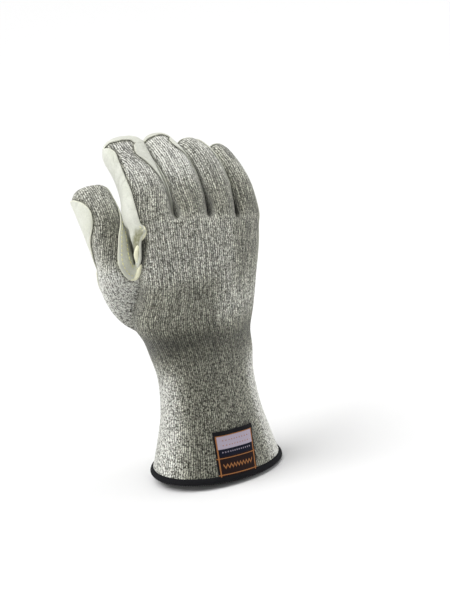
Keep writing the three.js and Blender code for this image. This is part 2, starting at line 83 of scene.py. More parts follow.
# Sections of cuff and hand, from the hem up. a: half width; back, palm: half depths to -Y and +Y;
# square: power of the oval; arch: how much higher the middle of the ring is than its ends;
# pitch: degrees the ring tips down to the palm; slope: its fall to the little finger's side;
# p1..p4: degrees round the oval (0 thumb side, 90 back) where back, far side, palm, near side start.
SECTIONS = table("z x y a back palm square arch pitch slope p1 p2 p3 p4", [
    [1.5, 0.0, 0.0, 46.9, 31.0, 31.5, 2.1, 0, 0, 0.05, -12, 170, 222, 300],
    [21, 0.0, 0.0, 41.5, 27.6, 27.8, 2.1, 0, 0, 0.05, -12, 170, 222, 300],
    [44, -0.3, 0.0, 36.1, 24.6, 25.0, 2.1, 0, 0, 0.05, -12, 170, 222, 300],
    [65, -1.0, 0.0, 34.5, 22.2, 23.5, 2.1, 0, 0, 0.05, -12, 170, 222, 300],
    [84, -2.0, 0.0, 36.4, 20.9, 23.0, 2.1, 0, 0, 0.05, -12, 170, 221, 300],
    [98, -3.8, 0.5, 38.5, 21.6, 23.0, 2.1, 0, 0, 0.05, -11, 170, 219, 300],
    [115, -5.0, 1.0, 43.4, 20.4, 22.6, 2.15, 0, 2, 0.05, -10, 168, 214, 303],
    [136, 0.9, 1.5, 41.8, 18.2, 21.0, 2.2, 0.5, 6, 0.07, -8, 165, 209, 306],
    [152, 2.3, 2.2, 43.3, 16.9, 19.2, 2.25, 1, 12, 0.11, 5.5, 163, 204, 313],
    [166, 3.1, 3.6, 44.6, 16.0, 17.0, 2.3, 1.6, 19, 0.16, 21, 162, 200, 324],
    [178, 4.6, 6.2, 45.0, 14.8, 15.2, 2.4, 2, 26, 0.2, 30, 162, 198, 331],
])
RING_HEIGHTS = [1.5, 9, 21, 38, 56, 75, 91, 99, 108, 119, 130, 141, 152, 160, 168, 175.2]
HAND_TOP = len(RING_HEIGHTS) - 1
LEATHER_FROM = 7
THUMB_FROM = 8
THUMB_TO = THUMB_FROM + BACK_COLS
FINGER_SHARES = [0, 0.272, 0.55, 0.775, 1]
CROTCH_RISE = 3.5
CROTCH_PRESS = 0.6

# Centre lines of the fingers and thumb: a is the half width, b the half depth there
LINES = {
    "index": table("x y z a b", [
        [-26.7, 7, 182.5, 15.3, 12.6], [-26.3, 11, 189.4, 15.7, 12.3], [-24.9, 18.5, 200.0, 14.6, 11.8],
        [-25.6, 29, 212.6, 13.6, 11.2], [-26.6, 41, 222.2, 14.1, 10.8], [-26.0, 50.5, 226.6, 14.9, 10.4]]),
    "middle": table("x y z a b", [
        [1.6, 6.5, 177.5, 11.2, 12.4], [2.5, 11.5, 187.4, 11.8, 12.0], [2.4, 20, 201.6, 11.5, 11.5],
        [0.6, 31, 213.4, 11.0, 11.0], [-2.3, 43, 221.0, 10.3, 10.4], [-2.7, 52.5, 223.4, 10.0, 9.8]]),
    "ring": table("x y z a b", [
        [23.2, 6, 174.5, 9.3, 12.0], [24.6, 11.5, 185.6, 9.5, 11.6], [24.6, 20, 199.6, 9.6, 11.1],
        [22.9, 31, 210.0, 9.3, 10.6], [20.1, 42, 215.0, 8.6, 10.0], [19.2, 51, 216.4, 8.4, 9.5]]),
    "little": table("x y z a b", [
        [42.3, 7, 169.5, 8.4, 10.8], [43.3, 12, 178.6, 8.5, 10.5], [43.7, 20, 191.6, 8.0, 10.1],
        [42.2, 30, 201.6, 7.7, 9.6], [40.1, 39.5, 208.4, 7.2, 9.1], [38.9, 47, 211.6, 6.6, 8.6]]),
    "thumb": table("x y z a b", [
        [-39, 4, 127, 20, 18], [-48, 7, 137, 17, 16], [-51.0, 10, 147, 14.5, 14],
        [-52.2, 14, 159, 12.3, 12.9], [-53.6, 20, 174, 12.4, 12.4], [-54.3, 28, 187, 13.0, 11.4],
        [-55.1, 36.5, 196.0, 13.0, 10.2], [-55.7, 43.5, 201.6, 13.1, 9.4]]),
}
FINGERS = ["index", "middle", "ring", "little"]
# Ways in which the cloth leaves the hand into the thumb: at its back, its crotch, its palm and its
# outer side, and how far the ball of the thumb swells out to -X, in the same order
THUMB_LEAVES = np.array([[-0.9, 0.1, 0.3], [-1.5, 0, 0], [-0.85, -0.1, 0.5], [-0.75, 0.05, 0.6]])
THUMB_SWELL = np.array([1.2, 0, 1.5, 3.6])
THUMB_CLEAR = 4
# Degrees round each tube where the knitted back starts and ends, at its base, its middle and its tip,
# and where the palm side meets the near side
BACK_EDGES = {
    "index": {"start": [52, 62, 52], "end": [145, 147, 112], "near": 325},
    "middle": {"start": [35, 20, 38], "end": [145, 150, 132], "near": 325},
    "ring": {"start": [35, 15, 24], "end": [145, 152, 145], "near": 325},
    "little": {"start": [35, 12, 16], "end": [146, 155, 150], "near": 325},
    "thumb": {"start": [-12, -48, 48], "end": [133, 133, 165], "near": 297},
}
# From which share of a tube its back turns to the tip's and over how much, how square its oval is at the
# base and the tip, and the way across it
FINGER_FORM = {"turn": (0.5, 0.35), "square": (2.9, 2.5), "across": (1.0, 0, 0)}
THUMB_FORM = {"turn": (0.3, 0.42), "square": (2, 2.5), "across": (1.0, 0.15, 0)}
# Shares of a tube: by which its back has turned away from the base's limits, and from which its oval
# changes to the tip's and over how much
BASE_TURN = 0.3
SQUARE_TURN = (0.4, 0.4)
# Millimetres in which a finger's side walls part, and in which its back and palm take their own form
SIDES_PART = 5
BACK_PART = 22
FINGER_RINGS = [0, 0.06, 0.13, 0.23, 0.34, 0.46, 0.58, 0.69, 0.79, 0.87, 0.93, 0.97, 0.99]
THUMB_RINGS = [0, 0.1, 0.2, 0.3, 0.4, 0.5, 0.6, 0.7, 0.79, 0.87, 0.93, 0.97, 0.99]
TIP_RING = {"index": 10, "middle": 10, "ring": 11, "little": 11}
TIP_LENGTH = 13
# How blunt each finger's end is: the power of its rounding
TIP_BLUNT = {"index": 3.2, "middle": 2.5, "ring": 2.3, "little": 2.3, "thumb": 6.0}
# How far the knit's end is rounded at a fingertip, as a share of the finger's length
TIP_ROUND = 0.05
# How much of that rounding is on the near corner of each finger; below 0 the corner stands out
NEAR_ROUND = {"index": -0.5, "middle": -0.2, "ring": 0.6, "little": 1}
# How far the knit's end lies back from a fingertip's ring of the net, in the same measure
TIP_BACK = {"index": 0.05, "middle": 0.05, "ring": 0.015, "little": 0.0}

# The leather's borders along the knitted back, in columns past its first (near) and last (far) column,
# at rows of each tube; in a crotch the two neighbours' values are one place on the line between them
BORDER_ROWS = [0, 1, 2, 3, 4, 6, 7, 8, 9, 10, 12]
BORDERS = {
    "index": {"near": [0, 0.05, -0.05, -0.3, -0.45, -0.55, -0.35, -0.1, -0.5, -1.1, -1.2],
              "far": [0.3, 0.7, 0.7, 0.5, 0.0, -1.45, -1.7, -0.95, -0.25, -0.6, -0.7]},
    "middle": {"near": [-0.3, -1.0, -0.85, -0.15, 0.05, -0.15, -0.7, -1.1, -1.9, -2.2, -2.2],
               "far": [1.5, 1.3, 1.1, 0.9, 0.7, 0.3, -0.8, -0.8, -0.2, 0, 0]},
    "ring": {"near": [-1.5, -1.9, -1.6, -1.0, -0.4, 0.1, -0.2, -0.7, -1.0, -1.2, -1.3],
             "far": [1.5, 1.2, 1.0, 0.8, 0.6, -0.2, -0.25, -0.25, -0.2, -0.2, 0]},
    "little": {"near": [-1.5, -1.6, -1.2, -0.4, 0.3, 0.6, 0.45, 0.4, 0.3, 0.3, 0.2],
               "far": [0] * 11},
}
BORDER_REACH = 2.5
# The same for the leather's edge beside the thumb, at rows of the hand, with a small tab at its top
HAND_BORDER = [[12, 12.5, 13.2, 13.8, 14.1, 14.4, 14.7, 15], [0.2, 0.42, 0.32, 0.22, 0.3, 0.62, 0.4, 0.05]]
# First and last column of the thumb's leather, at rows of the thumb
THUMB_FIRST = [[0, 1, 2, 3, 4, 5, 6, 7, 8, 12], [3.6, 3.2, 2.9, 2.7, 2.5, 2.4, 2.4, 2.95, 3.65, 4]]
THUMB_LAST = [[0, 2, 4, 5, 6, 7, 8, 9, 10, 11, 12],
              [12, 12.4, 13, 13.4, 13.2, 13.8, 14.1, 13.7, 13, 12.4, 11.8]]

# How pale the knit is painted at each tube's base and further up: painted shade and painted light
FINGER_TONES = {"index": [0.78, 1.22], "middle": [0.5, 1.35], "ring": [0.52, 1.05], "little": [0.44, 0.84],
                "thumb": [1.5, 0.7]}
# Painted light and shade on the knit: where it is painted paler, or darker with an amount below 0: the
# amount, the low and high limit and the fade along z (the hand) or the rows (the thumb), then columns turned
# on by how many, their limits and their fade
HAND_TONES = [
    (-0.55, (-99, 78, 14), 0, (5.0, 12.2, 2.6)),
    (-0.68, (92, 104, 14), 6, (5, 21, 3)),
    (-0.45, (106, 138, 14), 6, (5, 14, 3)),
    (0.18, (-99, 70, 20), 8, (0, 11.2, 1.5)),
    (0.72, (-99, 70, 20), 0, (13.2, 17.5, 1.5)),
    (-0.08, (176, 999, 20), 0, (0, RING, 1)),
    (-0.4, (150, 999, 30), 0, (12.5, 18, 2)),
]
THUMB_TONES = [
    (-0.3, (4.2, 6.8, 1.2), 0, (1.1, 3.6, 0.8)),
    (0.18, (3.5, 7.5, 1.5), 3, (2, 3.6, 0.5)),
]
# How much darker the knit is painted along the leather's edges, as a painted contact shadow, and how far from
# them, in mm
SEAM_SHADOW = 0.72
SEAM_SHADOW_WIDE = 1.5

# Soft folds across the palm side: x, z, degrees of turn, half length, half width, depth
PALM_FOLDS = [(8, 168, -8, 34, 7, 1.6), (4, 150, 24, 30, 8, 2.2), (-14, 134, 62, 26, 8, 2.4),
              (20, 128, -38, 22, 8, 1.6), (2, 108, 4, 30, 7, 1.2)]
# Folds at the joints (share of the tube) and gathers at the wrist (height): place, half width, depth
FINGER_FOLDS = [(0.34, 0.07, 1.5), (0.69, 0.07, 1.2)]
THUMB_FOLDS = [(0.7, 0.08, 1.2)]
WRIST_GATHERS = [(75, 9, 0.5), (100, 9, 0.7)]
# The hollow in the hand's side above the thumb's web: row, half height, column, half width, depth
SIDE_HOLLOW = (12.9, 0.9, 36.2, 1.1, 3.2)
# How many rows the thumb's web climbs on the hand and on the thumb, and how far it sags
WEB_ROWS = (6.0, 6.2)
WEB_SAG = 3.0
# How the net is evened out: so many rounds, an amount round the thumb's hole, and the rows over which it
# fades from the hand's top ring down the hand and up each tube
EVEN_ROUNDS = 8
EVEN_HOLE = 0.8
EVEN_HAND = 0.7
EVEN_TUBE = 1.2

# Cloth thicknesses, and the sewn-on pieces' sizes
KNIT_WALL = 1.6
LEATHER_THICK = 1.0
LEATHER_LIFT = 0.15
LEATHER_TOP = LEATHER_LIFT + LEATHER_THICK
HEM_HEIGHT = 4.6
HEM_DEPTH = KNIT_WALL + 3.1
HEM_ROUND = 250
# The hem's strands: points to each, how many they lean by in half a turn of the outline, their height above
# their troughs, and how far the troughs lie in the outline
STRAND_POINTS = 4
STRAND_LEAN = 1.5
STRAND_HIGH = 0.3
STRAND_SINK = 0.2
LABEL_THICK = 0.6
LABEL_LIFT = 0.3
LABEL_FROM = 4.4
LABEL_TO = 36.5
# The label's first column and its width at its foot, in columns, how much wider it grows and how far it leans
LABEL_COLS = (6.77, 3.83)
LABEL_SPREAD = 0.264
LABEL_LEAN = 0.23

# The camera's view: degrees round from -Y and above level, its roll, the point it looks at, and
# the lens and shift that give the photograph's frame of 450 x 590
VIEW_AROUND = 21
VIEW_ABOVE = 21
VIEW_ROLL = 6
LOOK_AT = (0, 0, 0.115)
LENS = 94.2
SENSOR = 36
SHIFT = (0.0405, 0.0292)
# Half the floor's side, and how far it lies below the hem, in mm
FLOOR_HALF = 6000
FLOOR_DROP = 0.4


join = np.concatenate


def soft(t):
    """A smooth step: 3t^2 - 2t^3 of t held between 0 and 1."""
    t = np.clip(t, 0, 1)
    return t * t * (3 - 2 * t)


def band(value, low, high, fade):
    """1 where a value lies between low and high, falling smoothly to 0 over fade on either side."""
    return soft((value - low) / fade + 1) * soft((high - value) / fade + 1)


def bell(value, middle, wide):
    """exp(-u^2), where u is the distance from the middle as a share of the width."""
    return np.exp(-(((value - middle) / wide) ** 2))


def bend(value, power):
    """A power that keeps the value's sign, for ovals with fuller corners."""
    return np.sign(value) * np.abs(value) ** power


def unit(v):
    """Vectors of length 1 along the last axis."""
    return v / np.maximum(np.linalg.norm(v, axis=-1, keepdims=True), 1e-12)


def arc_of(points, axis=0):
    """How far along its line each point lies."""
    steps = np.linalg.norm(np.diff(points, axis=axis), axis=-1)
    return np.cumsum(np.insert(steps, 0, 0, axis=axis), axis=axis)


def curve(knots, values, t):
    """Cubic pieces through the knots, whose slopes are those of a parabola through the neighbours."""
    knots, values, t = np.asarray(knots, float), np.asarray(values, float), np.asarray(t, float)
    step = np.diff(knots)
    rise = np.diff(values) / step
    slope = np.empty(len(knots))
    slope[0], slope[-1] = rise[0], rise[-1]
    slope[1:-1] = (rise[1:] * step[:-1] + rise[:-1] * step[1:]) / (step[:-1] + step[1:])
    i = np.clip(np.searchsorted(knots, t, side="right") - 1, 0, len(knots) - 2)
    u = np.clip((t - knots[i]) / step[i], 0, 1)
    return ((2 * u**3 - 3 * u**2 + 1) * values[i] + (u**3 - 2 * u**2 + u) * step[i] * slope[i]
            + (3 * u**2 - 2 * u**3) * values[i + 1] + (u**3 - u**2) * step[i] * slope[i + 1])


def refine(values):
    """A list with FINE steps between each two of its values."""
    count = (len(values) - 1) * FINE + 1
    return np.interp(np.arange(count) / FINE, np.arange(len(values)), values)


def hand_ring(z, columns):
    """One ring of cuff or hand at height z, and the share of its way round at each column.

    An oval: x = a cos^(2/square), y = depth sin^(2/square), walked by arc length, so that the columns of
    back, far side, palm and near side are even; raised by arch, tipped by pitch and slope.
    """
    s = {key: float(curve(SECTIONS["z"], values, z)) for key, values in SECTIONS.items()}
    turn = np.linspace(-90, 450, 1081)
    c, d = [bend(wave(np.radians(turn)), 2 / s["square"]) for wave in (np.cos, np.sin)]
    x = s["x"] - s["a"] * c
    y = s["y"] - np.where(d > 0, s["back"], s["palm"]) * d
    arc = arc_of(np.stack([x, y], 1))
    marks = [s["p1"], s["p2"], s["p3"], s["p4"], s["p1"] + 360, 90]
    p1, p2, p3, p4, p5, middle = np.interp(marks, turn, arc)
    shares = np.array(FINGER_SHARES)
    marks = join([p1 + (p2 - p1) * shares, p3 + (p4 - p3) * (1 - shares[::-1]), [p5]])
    fingers = np.arange(5) * BACK_COLS
    at = np.interp(columns, join([fingers, PALM_START + fingers, [RING]]), marks)
    px, py = np.interp(at, arc, x), np.interp(at, arc, y)
    dx, dy = px - s["x"], py - s["y"]
    height = z + s["arch"] * (1 - (dx / s["a"]) ** 2) - np.tan(radians(s["pitch"])) * dy - s["slope"] * dx
    return np.stack([px, py, height], -1), (at - middle) / (p5 - p1)


def column_turn(q, columns, edges, turn):
    """Degrees round a tube: even over its back, far side, palm and near side, whose limits change with q."""
    start, end = [
        base + (middle - base) * soft(q / BASE_TURN) + (tip - middle) * soft((q - turn[0]) / turn[1])
        for base, middle, tip in (edges["start"], edges["end"])]
    turns = [start, end, 360 - end, edges["near"], start + 360]
    places = [0, BACK_COLS, PALM_COL, NEAR_COL, TUBE]
    parts = [a + (b - a) * (columns - low) / (high - low)
             for a, b, low, high in zip(turns, turns[1:], places, places[1:])]
    return np.select([columns < place for place in places[1:]], parts, start + 360)


def tube_rings(zone, q, columns):
    """Points of a tube round its centre line, its centres, ways, length and top, for shares q and columns.

    Centre at q, minus the wide way times a cos^(2/power), plus the deep way times b sin^(2/power), both
    times the rounding of the tip, (1 - t^blunt)^(1/blunt).
    """
    line, blunt = LINES[zone], TIP_BLUNT[zone]
    form = THUMB_FORM if zone == "thumb" else FINGER_FORM
    arc = arc_of(np.stack([line[key] for key in "xyz"], 1))
    length = arc[-1]

    def value(key, t):
        return curve(arc / length, line[key], t)

    def centre(t):
        return np.stack([value(key, t) for key in "xyz"], -1)

    way = unit(centre(np.minimum(q + 1e-3, 1)) - centre(np.maximum(q - 1e-3, 0)))
    across = np.array(form["across"])
    wide = unit(across - way * (way @ across)[..., None])
    deep = np.cross(wide, way)
    t = np.clip((q - 1) * length / TIP_LENGTH + 1, 0, 1)
    cap = (1 - t**blunt) ** (1 / blunt)
    base, tip = form["square"]
    power = 2 / (base + (tip - base) * soft((q - SQUARE_TURN[0]) / SQUARE_TURN[1]))
    phi = np.radians(column_turn(q, columns, BACK_EDGES[zone], form["turn"]))
    out_wide = value("a", q) * cap * bend(np.cos(phi), power)
    out_deep = value("b", q) * cap * bend(np.sin(phi), power)
    ring = centre(q) - wide * out_wide[..., None] + deep * out_deep[..., None]
    top = centre(1.0) + (centre(1.0) - centre(0.99)) * 0.35
    return {"ring": ring, "centre": centre(q), "way": way, "length": length, "top": top}


def finger_start(rings, q, columns, base):
    """A finger's first rings: they go from its loop to the tube's own rings by a share w.

    At the sides w is a quarter circle over SIDES_PART, at the back and palm a smooth step over BACK_PART.
    """
    s = q * rings["length"]
    c = columns % PALM_COL
    edge = np.where(c <= BACK_COLS, (2 * c / BACK_COLS - 1) ** 2, 1.0)
    u = np.minimum(s / SIDES_PART, 1)
    w = edge * np.sqrt(1 - (1 - u) ** 2) + (1 - edge) * soft(s / BACK_PART)
    moved = base + rings["centre"] - rings["centre"][:1]
    return moved + (rings["ring"] - moved) * w[..., None]


def thumb_start(rings, q, columns, base):
    """The thumb's first rings: cubic curves from the hole's edge to the ring where the thumb is clear.

    The ball of the thumb swells out to -X by its swell times 27/4 t^2 (1 - t), whose highest value is 1.
    """
    clear = THUMB_RINGS[THUMB_CLEAR]
    goal = tube_rings("thumb", np.full_like(q[:1], clear), columns)
    t = np.clip(q / clear, 0, 1)[..., None]
    quarter = (columns + SIDE_COLS / 2) / (TUBE / 4)
    i = np.floor(quarter).astype(int)
    part = (quarter - i)[..., None]
    leave, swell = [values[(i + 3) % 4] * (1 - part) + values[i % 4] * part
                    for values in (THUMB_LEAVES, THUMB_SWELL[:, None])]
    away = goal["ring"] - base
    long = np.linalg.norm(away, axis=-1, keepdims=True)
    points = base + away * soft(t) + leave * (t**3 - 2 * t**2 + t) * long + goal["way"] * (t**3 - t**2) * long
    points = points - np.array([1.0, 0, 0]) * swell * (27 / 4) * t * t * (1 - t)
    return np.where(t >= 1, rings["ring"], points)


def fold_depth(x, z):
    """Depth of the palm's folds: each a band exp(-u^4 - v^2) along its own turned axes."""
    depth = np.zeros_like(x)
    for x0, z0, turn, long, wide, deep in PALM_FOLDS:
        c, s = np.cos(radians(turn)), np.sin(radians(turn))
        u = ((x - x0) * c + (z - z0) * s) / long
        v = ((z - z0) * c - (x - x0) * s) / wide
        depth += deep * np.exp(-(u**4) - v**2)
    return depth


def over_palm(columns, start, stop):
    """1 over the palm's columns, falling to 0 at its two ends."""
    inside = (columns > start) & (columns < stop)
    return np.clip(1.6 * np.sin(np.pi * (columns - start) / (stop - start)), 0, 1) * inside


def numbers(*shape):
    """Point numbers in the shape of a grid."""
    return np.arange(np.prod(shape)).reshape(shape)


def closed(ids):
    """A grid of point numbers with its first column once more at its end."""
    return join([ids, ids[:, :1]], 1)


def grid_faces(ids):
    """The quads of a grid of point numbers, four to a face; or the same corners of any values."""
    corners = [ids[:-1, :-1], ids[:-1, 1:], ids[1:, 1:], ids[1:, :-1]]
    return np.stack(corners, 2).reshape(-1, 4, *ids.shape[2:])


def fan(start, stop, pole):
    """Triangles from the edges between start and stop to a pole, each marked by a last -1."""
    return np.stack(np.broadcast_arrays(start, stop, pole, -1), -1)


class Net:
    """The cloth's outer face: points, normals and faces, and a grid of point numbers for each zone."""

    def __init__(self):
        self.points = np.zeros((0, 3))
        self.marks = np.zeros((0, 3))
        self.grids = {}
        self.parts = []

    def add(self, points, dent=0.0, soften=0.0, press=1.0):
        """Adds points and returns their numbers, in the shape of the array given."""
        shape = points.shape[:-1]
        ids = len(self.points) + numbers(*shape)
        marks = np.stack([np.broadcast_to(value, shape) for value in (dent, soften, press)], -1)
        self.points = join([self.points, points.reshape(-1, 3)])
        self.marks = join([self.marks, marks.reshape(-1, 3)])
        return ids

    def add_faces(self, zone, ids, stitch, keep=True):
        """Adds the faces of a grid, with the stitch places of their corners and their rows and columns."""
        rows, cols = np.indices((ids.shape[0] - 1, ids.shape[1] - 1)) / FINE
        keep = np.broadcast_to(keep, rows.shape).reshape(-1)
        parts = [grid_faces(ids), grid_faces(stitch), rows.reshape(-1), cols.reshape(-1)]
        self.parts.append((zone, *[part[keep] for part in parts]))

    def add_tip(self, zone, ring, pole, stitch):
        """Closes a tube: triangles from its last ring to its pole."""
        middle = (stitch[:-1] + stitch[1:]) / 2
        middle[:, 1] = stitch[0, 1] + 1
        uv = np.stack([stitch[:-1], stitch[1:], middle, middle], 1)
        rows = np.full(len(uv), len(FINGER_RINGS) - 1.0)
        self.parts.append((zone, fan(ring[:-1], ring[1:], pole), uv, rows, np.arange(len(uv)) / FINE))

    def choose(self, wanted):
        """The faces, and the stitch places of their corners, where wanted(zone, row, col) holds."""
        chosen = [(faces[keep], uv[keep]) for zone, faces, uv, row, col in self.parts
                  for keep in [np.broadcast_to(wanted(zone, row, col), len(faces))]]
        return [join(kind) for kind in zip(*chosen)]

    def places(self, zone):
        """Point numbers of a zone's grid without its repeated last column, and their rows and columns."""
        ids = self.grids[zone][:, :-1]
        return ids, *(np.indices(ids.shape) / FINE)

    def spot(self, zone, rows, cols, key="points"):
        """Points, or other values of the net's points, at fractional rows and columns of a zone's grid."""
        ids, values = self.grids[zone], getattr(self, key)
        k, j = np.broadcast_arrays(np.multiply(rows, float(FINE)), np.multiply(cols, float(FINE)))
        k0 = np.clip(np.floor(k).astype(int), 0, ids.shape[0] - 2)
        j0 = np.clip(np.floor(j).astype(int), 0, ids.shape[1] - 2)
        u, v = (k - k0)[..., None], (j - j0)[..., None]
        low, high = [values[ids[i, j0]] * (1 - v) + values[ids[i, j0 + 1]] * v for i in (k0, k0 + 1)]
        return low * (1 - u) + high * u

    def surface(self, zone, rows, cols):
        """Points and normals at fractional rows and columns of a zone's grid."""
        return self.spot(zone, rows, cols), unit(self.spot(zone, rows, cols, "normals"))


def corners_of(faces):
    """Corner numbers of all faces in a row, the next corner to each, and how many corners each face has."""
    used = faces >= 0
    counts = used.sum(1)
    following = np.roll(faces, -1, axis=1)
    following[counts == 3, 2] = faces[counts == 3, 0]
    return faces[used], following[used], counts


def border_edges(faces):
    """Start and end points of the edges that only one face has."""
    a, b, _ = corners_of(faces)
    count = a.max() + 1
    alone = ~np.isin(a * count + b, b * count + a)
    return a[alone], b[alone]


def sum_at(ids, values, count):
    """For each of count points, the sum of the rows of values that carry its number."""
    return np.stack([np.bincount(ids, column, count) for column in values.T], 1)


def point_normals(points, faces):
    """Normals of points: the sum of their faces' normals, made unit vectors."""
    p = points[np.where(faces >= 0, faces, faces[:, :1])]
    normals = unit(np.cross(p[:, 2] - p[:, 0], p[:, 3] - p[:, 1]))
    corners, _, counts = corners_of(faces)
    return unit(sum_at(corners, np.repeat(normals, counts, axis=0), len(points)))


def even_out(values, faces, weight, rounds):
    """Moves each point's values half their weight towards the mean of its neighbours, so many times."""
    a, b, _ = corners_of(faces)
    here, there = join([a, b]), join([b, a])
    share = np.maximum(np.bincount(here, minlength=len(values)), 1)[:, None]
    for _ in range(rounds):
        values = values + (sum_at(here, values[there], len(values)) / share - values) * 0.5 * weight
    return values


def tube_stitches(points, first, pitch):
    """Stitch places on a tube: wales by arc length from the middle of the back, courses along that line."""
    arc = arc_of(points, 1)
    middle = BACK_COLS * FINE // 2
    wales = first[0] + (arc - arc[:, middle:middle + 1]) / pitch[0]
    courses = first[1] + arc_of(points[:, :2 * middle + 1]).mean(1) / pitch[1]
    return np.stack(np.broadcast_arrays(wales, courses[:, None]), -1)


def hand_net(net):
    """Adds the ring of cuff and hand; returns its points, and the share of the way round at each."""
    columns = np.arange(RING * FINE + 1) / FINE
    heights = refine(RING_HEIGHTS)[:, None]
    rows = np.arange(len(heights))[:, None] / FINE
    hand, shares = [np.stack(part) for part in zip(*[hand_ring(z, columns) for z in heights[:, 0]])]
    dent = fold_depth(hand[..., 0], heights) * over_palm(columns, PALM_START, THUMB_SIDE)
    for z, wide, deep in WRIST_GATHERS:
        dent = dent + deep * bell(heights, z, wide)
    row, high, col, wide, deep = SIDE_HOLLOW
    dent = dent + deep * bell(rows, row, high) * bell(columns, col, wide)
    near_hole = ((np.abs(rows - (THUMB_FROM + THUMB_TO) / 2) < BACK_COLS / 2 + 1)
                 & ((columns > THUMB_SIDE - 1) | (columns < 1)))
    soften = np.maximum(np.exp((rows - rows[-1]) / EVEN_HAND), near_hole * EVEN_HOLE)
    net.grids["hand"] = closed(net.add(hand[:, :-1], dent[:, :-1], soften[:, :-1]))
    return hand, shares


def make_net(wales, course):
    """The whole net: the ring of cuff and hand, the four fingers and the thumb."""
    net = Net()
    hand, shares = hand_net(net)
    ids = net.grids["hand"]
    rise = arc_of(hand[:, 2 * BACK_COLS * FINE]) / course
    row, col = np.indices((HAND_TOP * FINE, RING * FINE)) / FINE
    hole = (row >= THUMB_FROM) & (row < THUMB_TO) & (col >= THUMB_SIDE)
    net.add_faces("hand", ids, np.stack(np.broadcast_arrays(shares * wales, rise[:, None]), -1), ~hole)
    pitch = (arc_of(hand[-1])[-1] / wales, course)
    columns = np.arange(TUBE * FINE + 1) / FINE

    def span(start, stop):
        """Numbers of the top ring's points from one column to another, either way."""
        way = 1 if stop > start else -1
        return ids[-1][np.arange(start * FINE, stop * FINE + way, way) % (RING * FINE)]

    def bridge(i):
        """The crotch line between two fingers: straight, and raised as a parabola."""
        start, stop = ids[-1][[i * BACK_COLS * FINE, (THUMB_SIDE - i * BACK_COLS) * FINE]]
        t = np.arange(1, SIDE_COLS * FINE)[:, None] / (SIDE_COLS * FINE)
        line = net.points[start] + (net.points[stop] - net.points[start]) * t
        line = line + np.array([0, 0, CROTCH_RISE]) * (1 - (2 * t - 1) ** 2)
        return join([[start], net.add(line, soften=1.0, press=CROTCH_PRESS), [stop]])

    def in_crotch(*zones):
        """1 over the side columns that meet a neighbour, falling to 0 over one column beside them."""
        return np.max([np.clip(np.minimum(columns - a, b - columns) + 1, 0, 1) for a, b in zones], axis=0)

    def add_tube(zone, loop, q, start, folds, middle_column, crotch):
        """Joins a tube to its loop, dents it at its folds, closes its tip and notes its stitch places."""
        rings = tube_rings(zone, q, columns)
        points = start(rings, q, columns, net.points[loop])
        points[0] = net.points[loop]
        row = np.arange(len(points))[:, None] / FINE
        dents = sum(deep * bell(q, at, wide) for at, wide, deep in folds)
        dents = dents * over_palm(columns, PALM_COL, NEAR_COL)
        press = 1 - CROTCH_PRESS * crotch * (1 - soft((row - 3) / 5))
        new = net.add(points[1:, :-1], dents[1:, :-1], np.exp(-row / EVEN_TUBE)[1:], press[1:, :-1])
        net.grids[zone] = body = closed(join([loop[None, :-1], new]))
        first = (shares[-1, int(middle_column * FINE)] * wales, rise[-1])
        stitch = tube_stitches(points, first, pitch)
        net.add_faces(zone, body, stitch)
        net.add_tip(zone, body[-1], net.add(rings["top"][None])[0], stitch[-1])

    borders = [span(RING, THUMB_SIDE), bridge(1), bridge(2), bridge(3), span(4 * BACK_COLS, PALM_START)]
    far, near = (BACK_COLS, PALM_COL), (NEAR_COL, TUBE)
    crotches = [in_crotch(far), in_crotch(far, near), in_crotch(far, near), in_crotch(near)]
    row = np.arange((len(FINGER_RINGS) - 1) * FINE + 1)[:, None] / FINE
    on_near = (columns < BACK_COLS / 2) | (columns > TUBE - SIDE_COLS)
    over_back = np.where(columns <= BACK_COLS, (2 * columns / BACK_COLS - 1) ** 2,
                         1 - soft(np.minimum(columns - BACK_COLS, TUBE - columns) / SIDE_COLS))
    for i, zone in enumerate(FINGERS):
        back = span(i * BACK_COLS, (i + 1) * BACK_COLS)
        palm = span(THUMB_SIDE - (i + 1) * BACK_COLS, THUMB_SIDE - i * BACK_COLS)
        sides = [back, borders[i + 1], palm, borders[i][::-1]]
        loop = join([side[:-1] for side in sides] + [back[:1]])
        rounding = TIP_ROUND * over_back * np.where(on_near, NEAR_ROUND[zone], 1.0) + TIP_BACK[zone]
        q = refine(FINGER_RINGS)[:, None] - rounding * bell(row, TIP_RING[zone], 1.5)
        add_tube(zone, loop, q, finger_start, FINGER_FOLDS, (i + 0.5) * BACK_COLS, crotches[i])
    k = np.arange(THUMB_FROM * FINE, THUMB_TO * FINE)
    j = np.arange(THUMB_SIDE * FINE, RING * FINE)
    loop = join([ids[k, 0], ids[THUMB_TO * FINE, j + 1][::-1], ids[k + 1, THUMB_SIDE * FINE][::-1],
                 ids[THUMB_FROM * FINE, j], ids[k[:1], 0]])
    q = refine(THUMB_RINGS)[:, None] + 0 * columns
    add_tube("thumb", loop, q, thumb_start, THUMB_FOLDS, 0, in_crotch(far))

    net.faces, net.uv = net.choose(lambda *place: True)
    net.dent, net.soften, net.press = net.marks.T[..., None]
    net.points = even_out(net.points, net.faces, net.soften, EVEN_ROUNDS)
    net.points = net.points - point_normals(net.points, net.faces) * net.dent
    net.normals = point_normals(net.points, net.faces)
    net.normals[ids[0, :-1], 2] = 0
    net.normals = unit(net.normals)
    return net


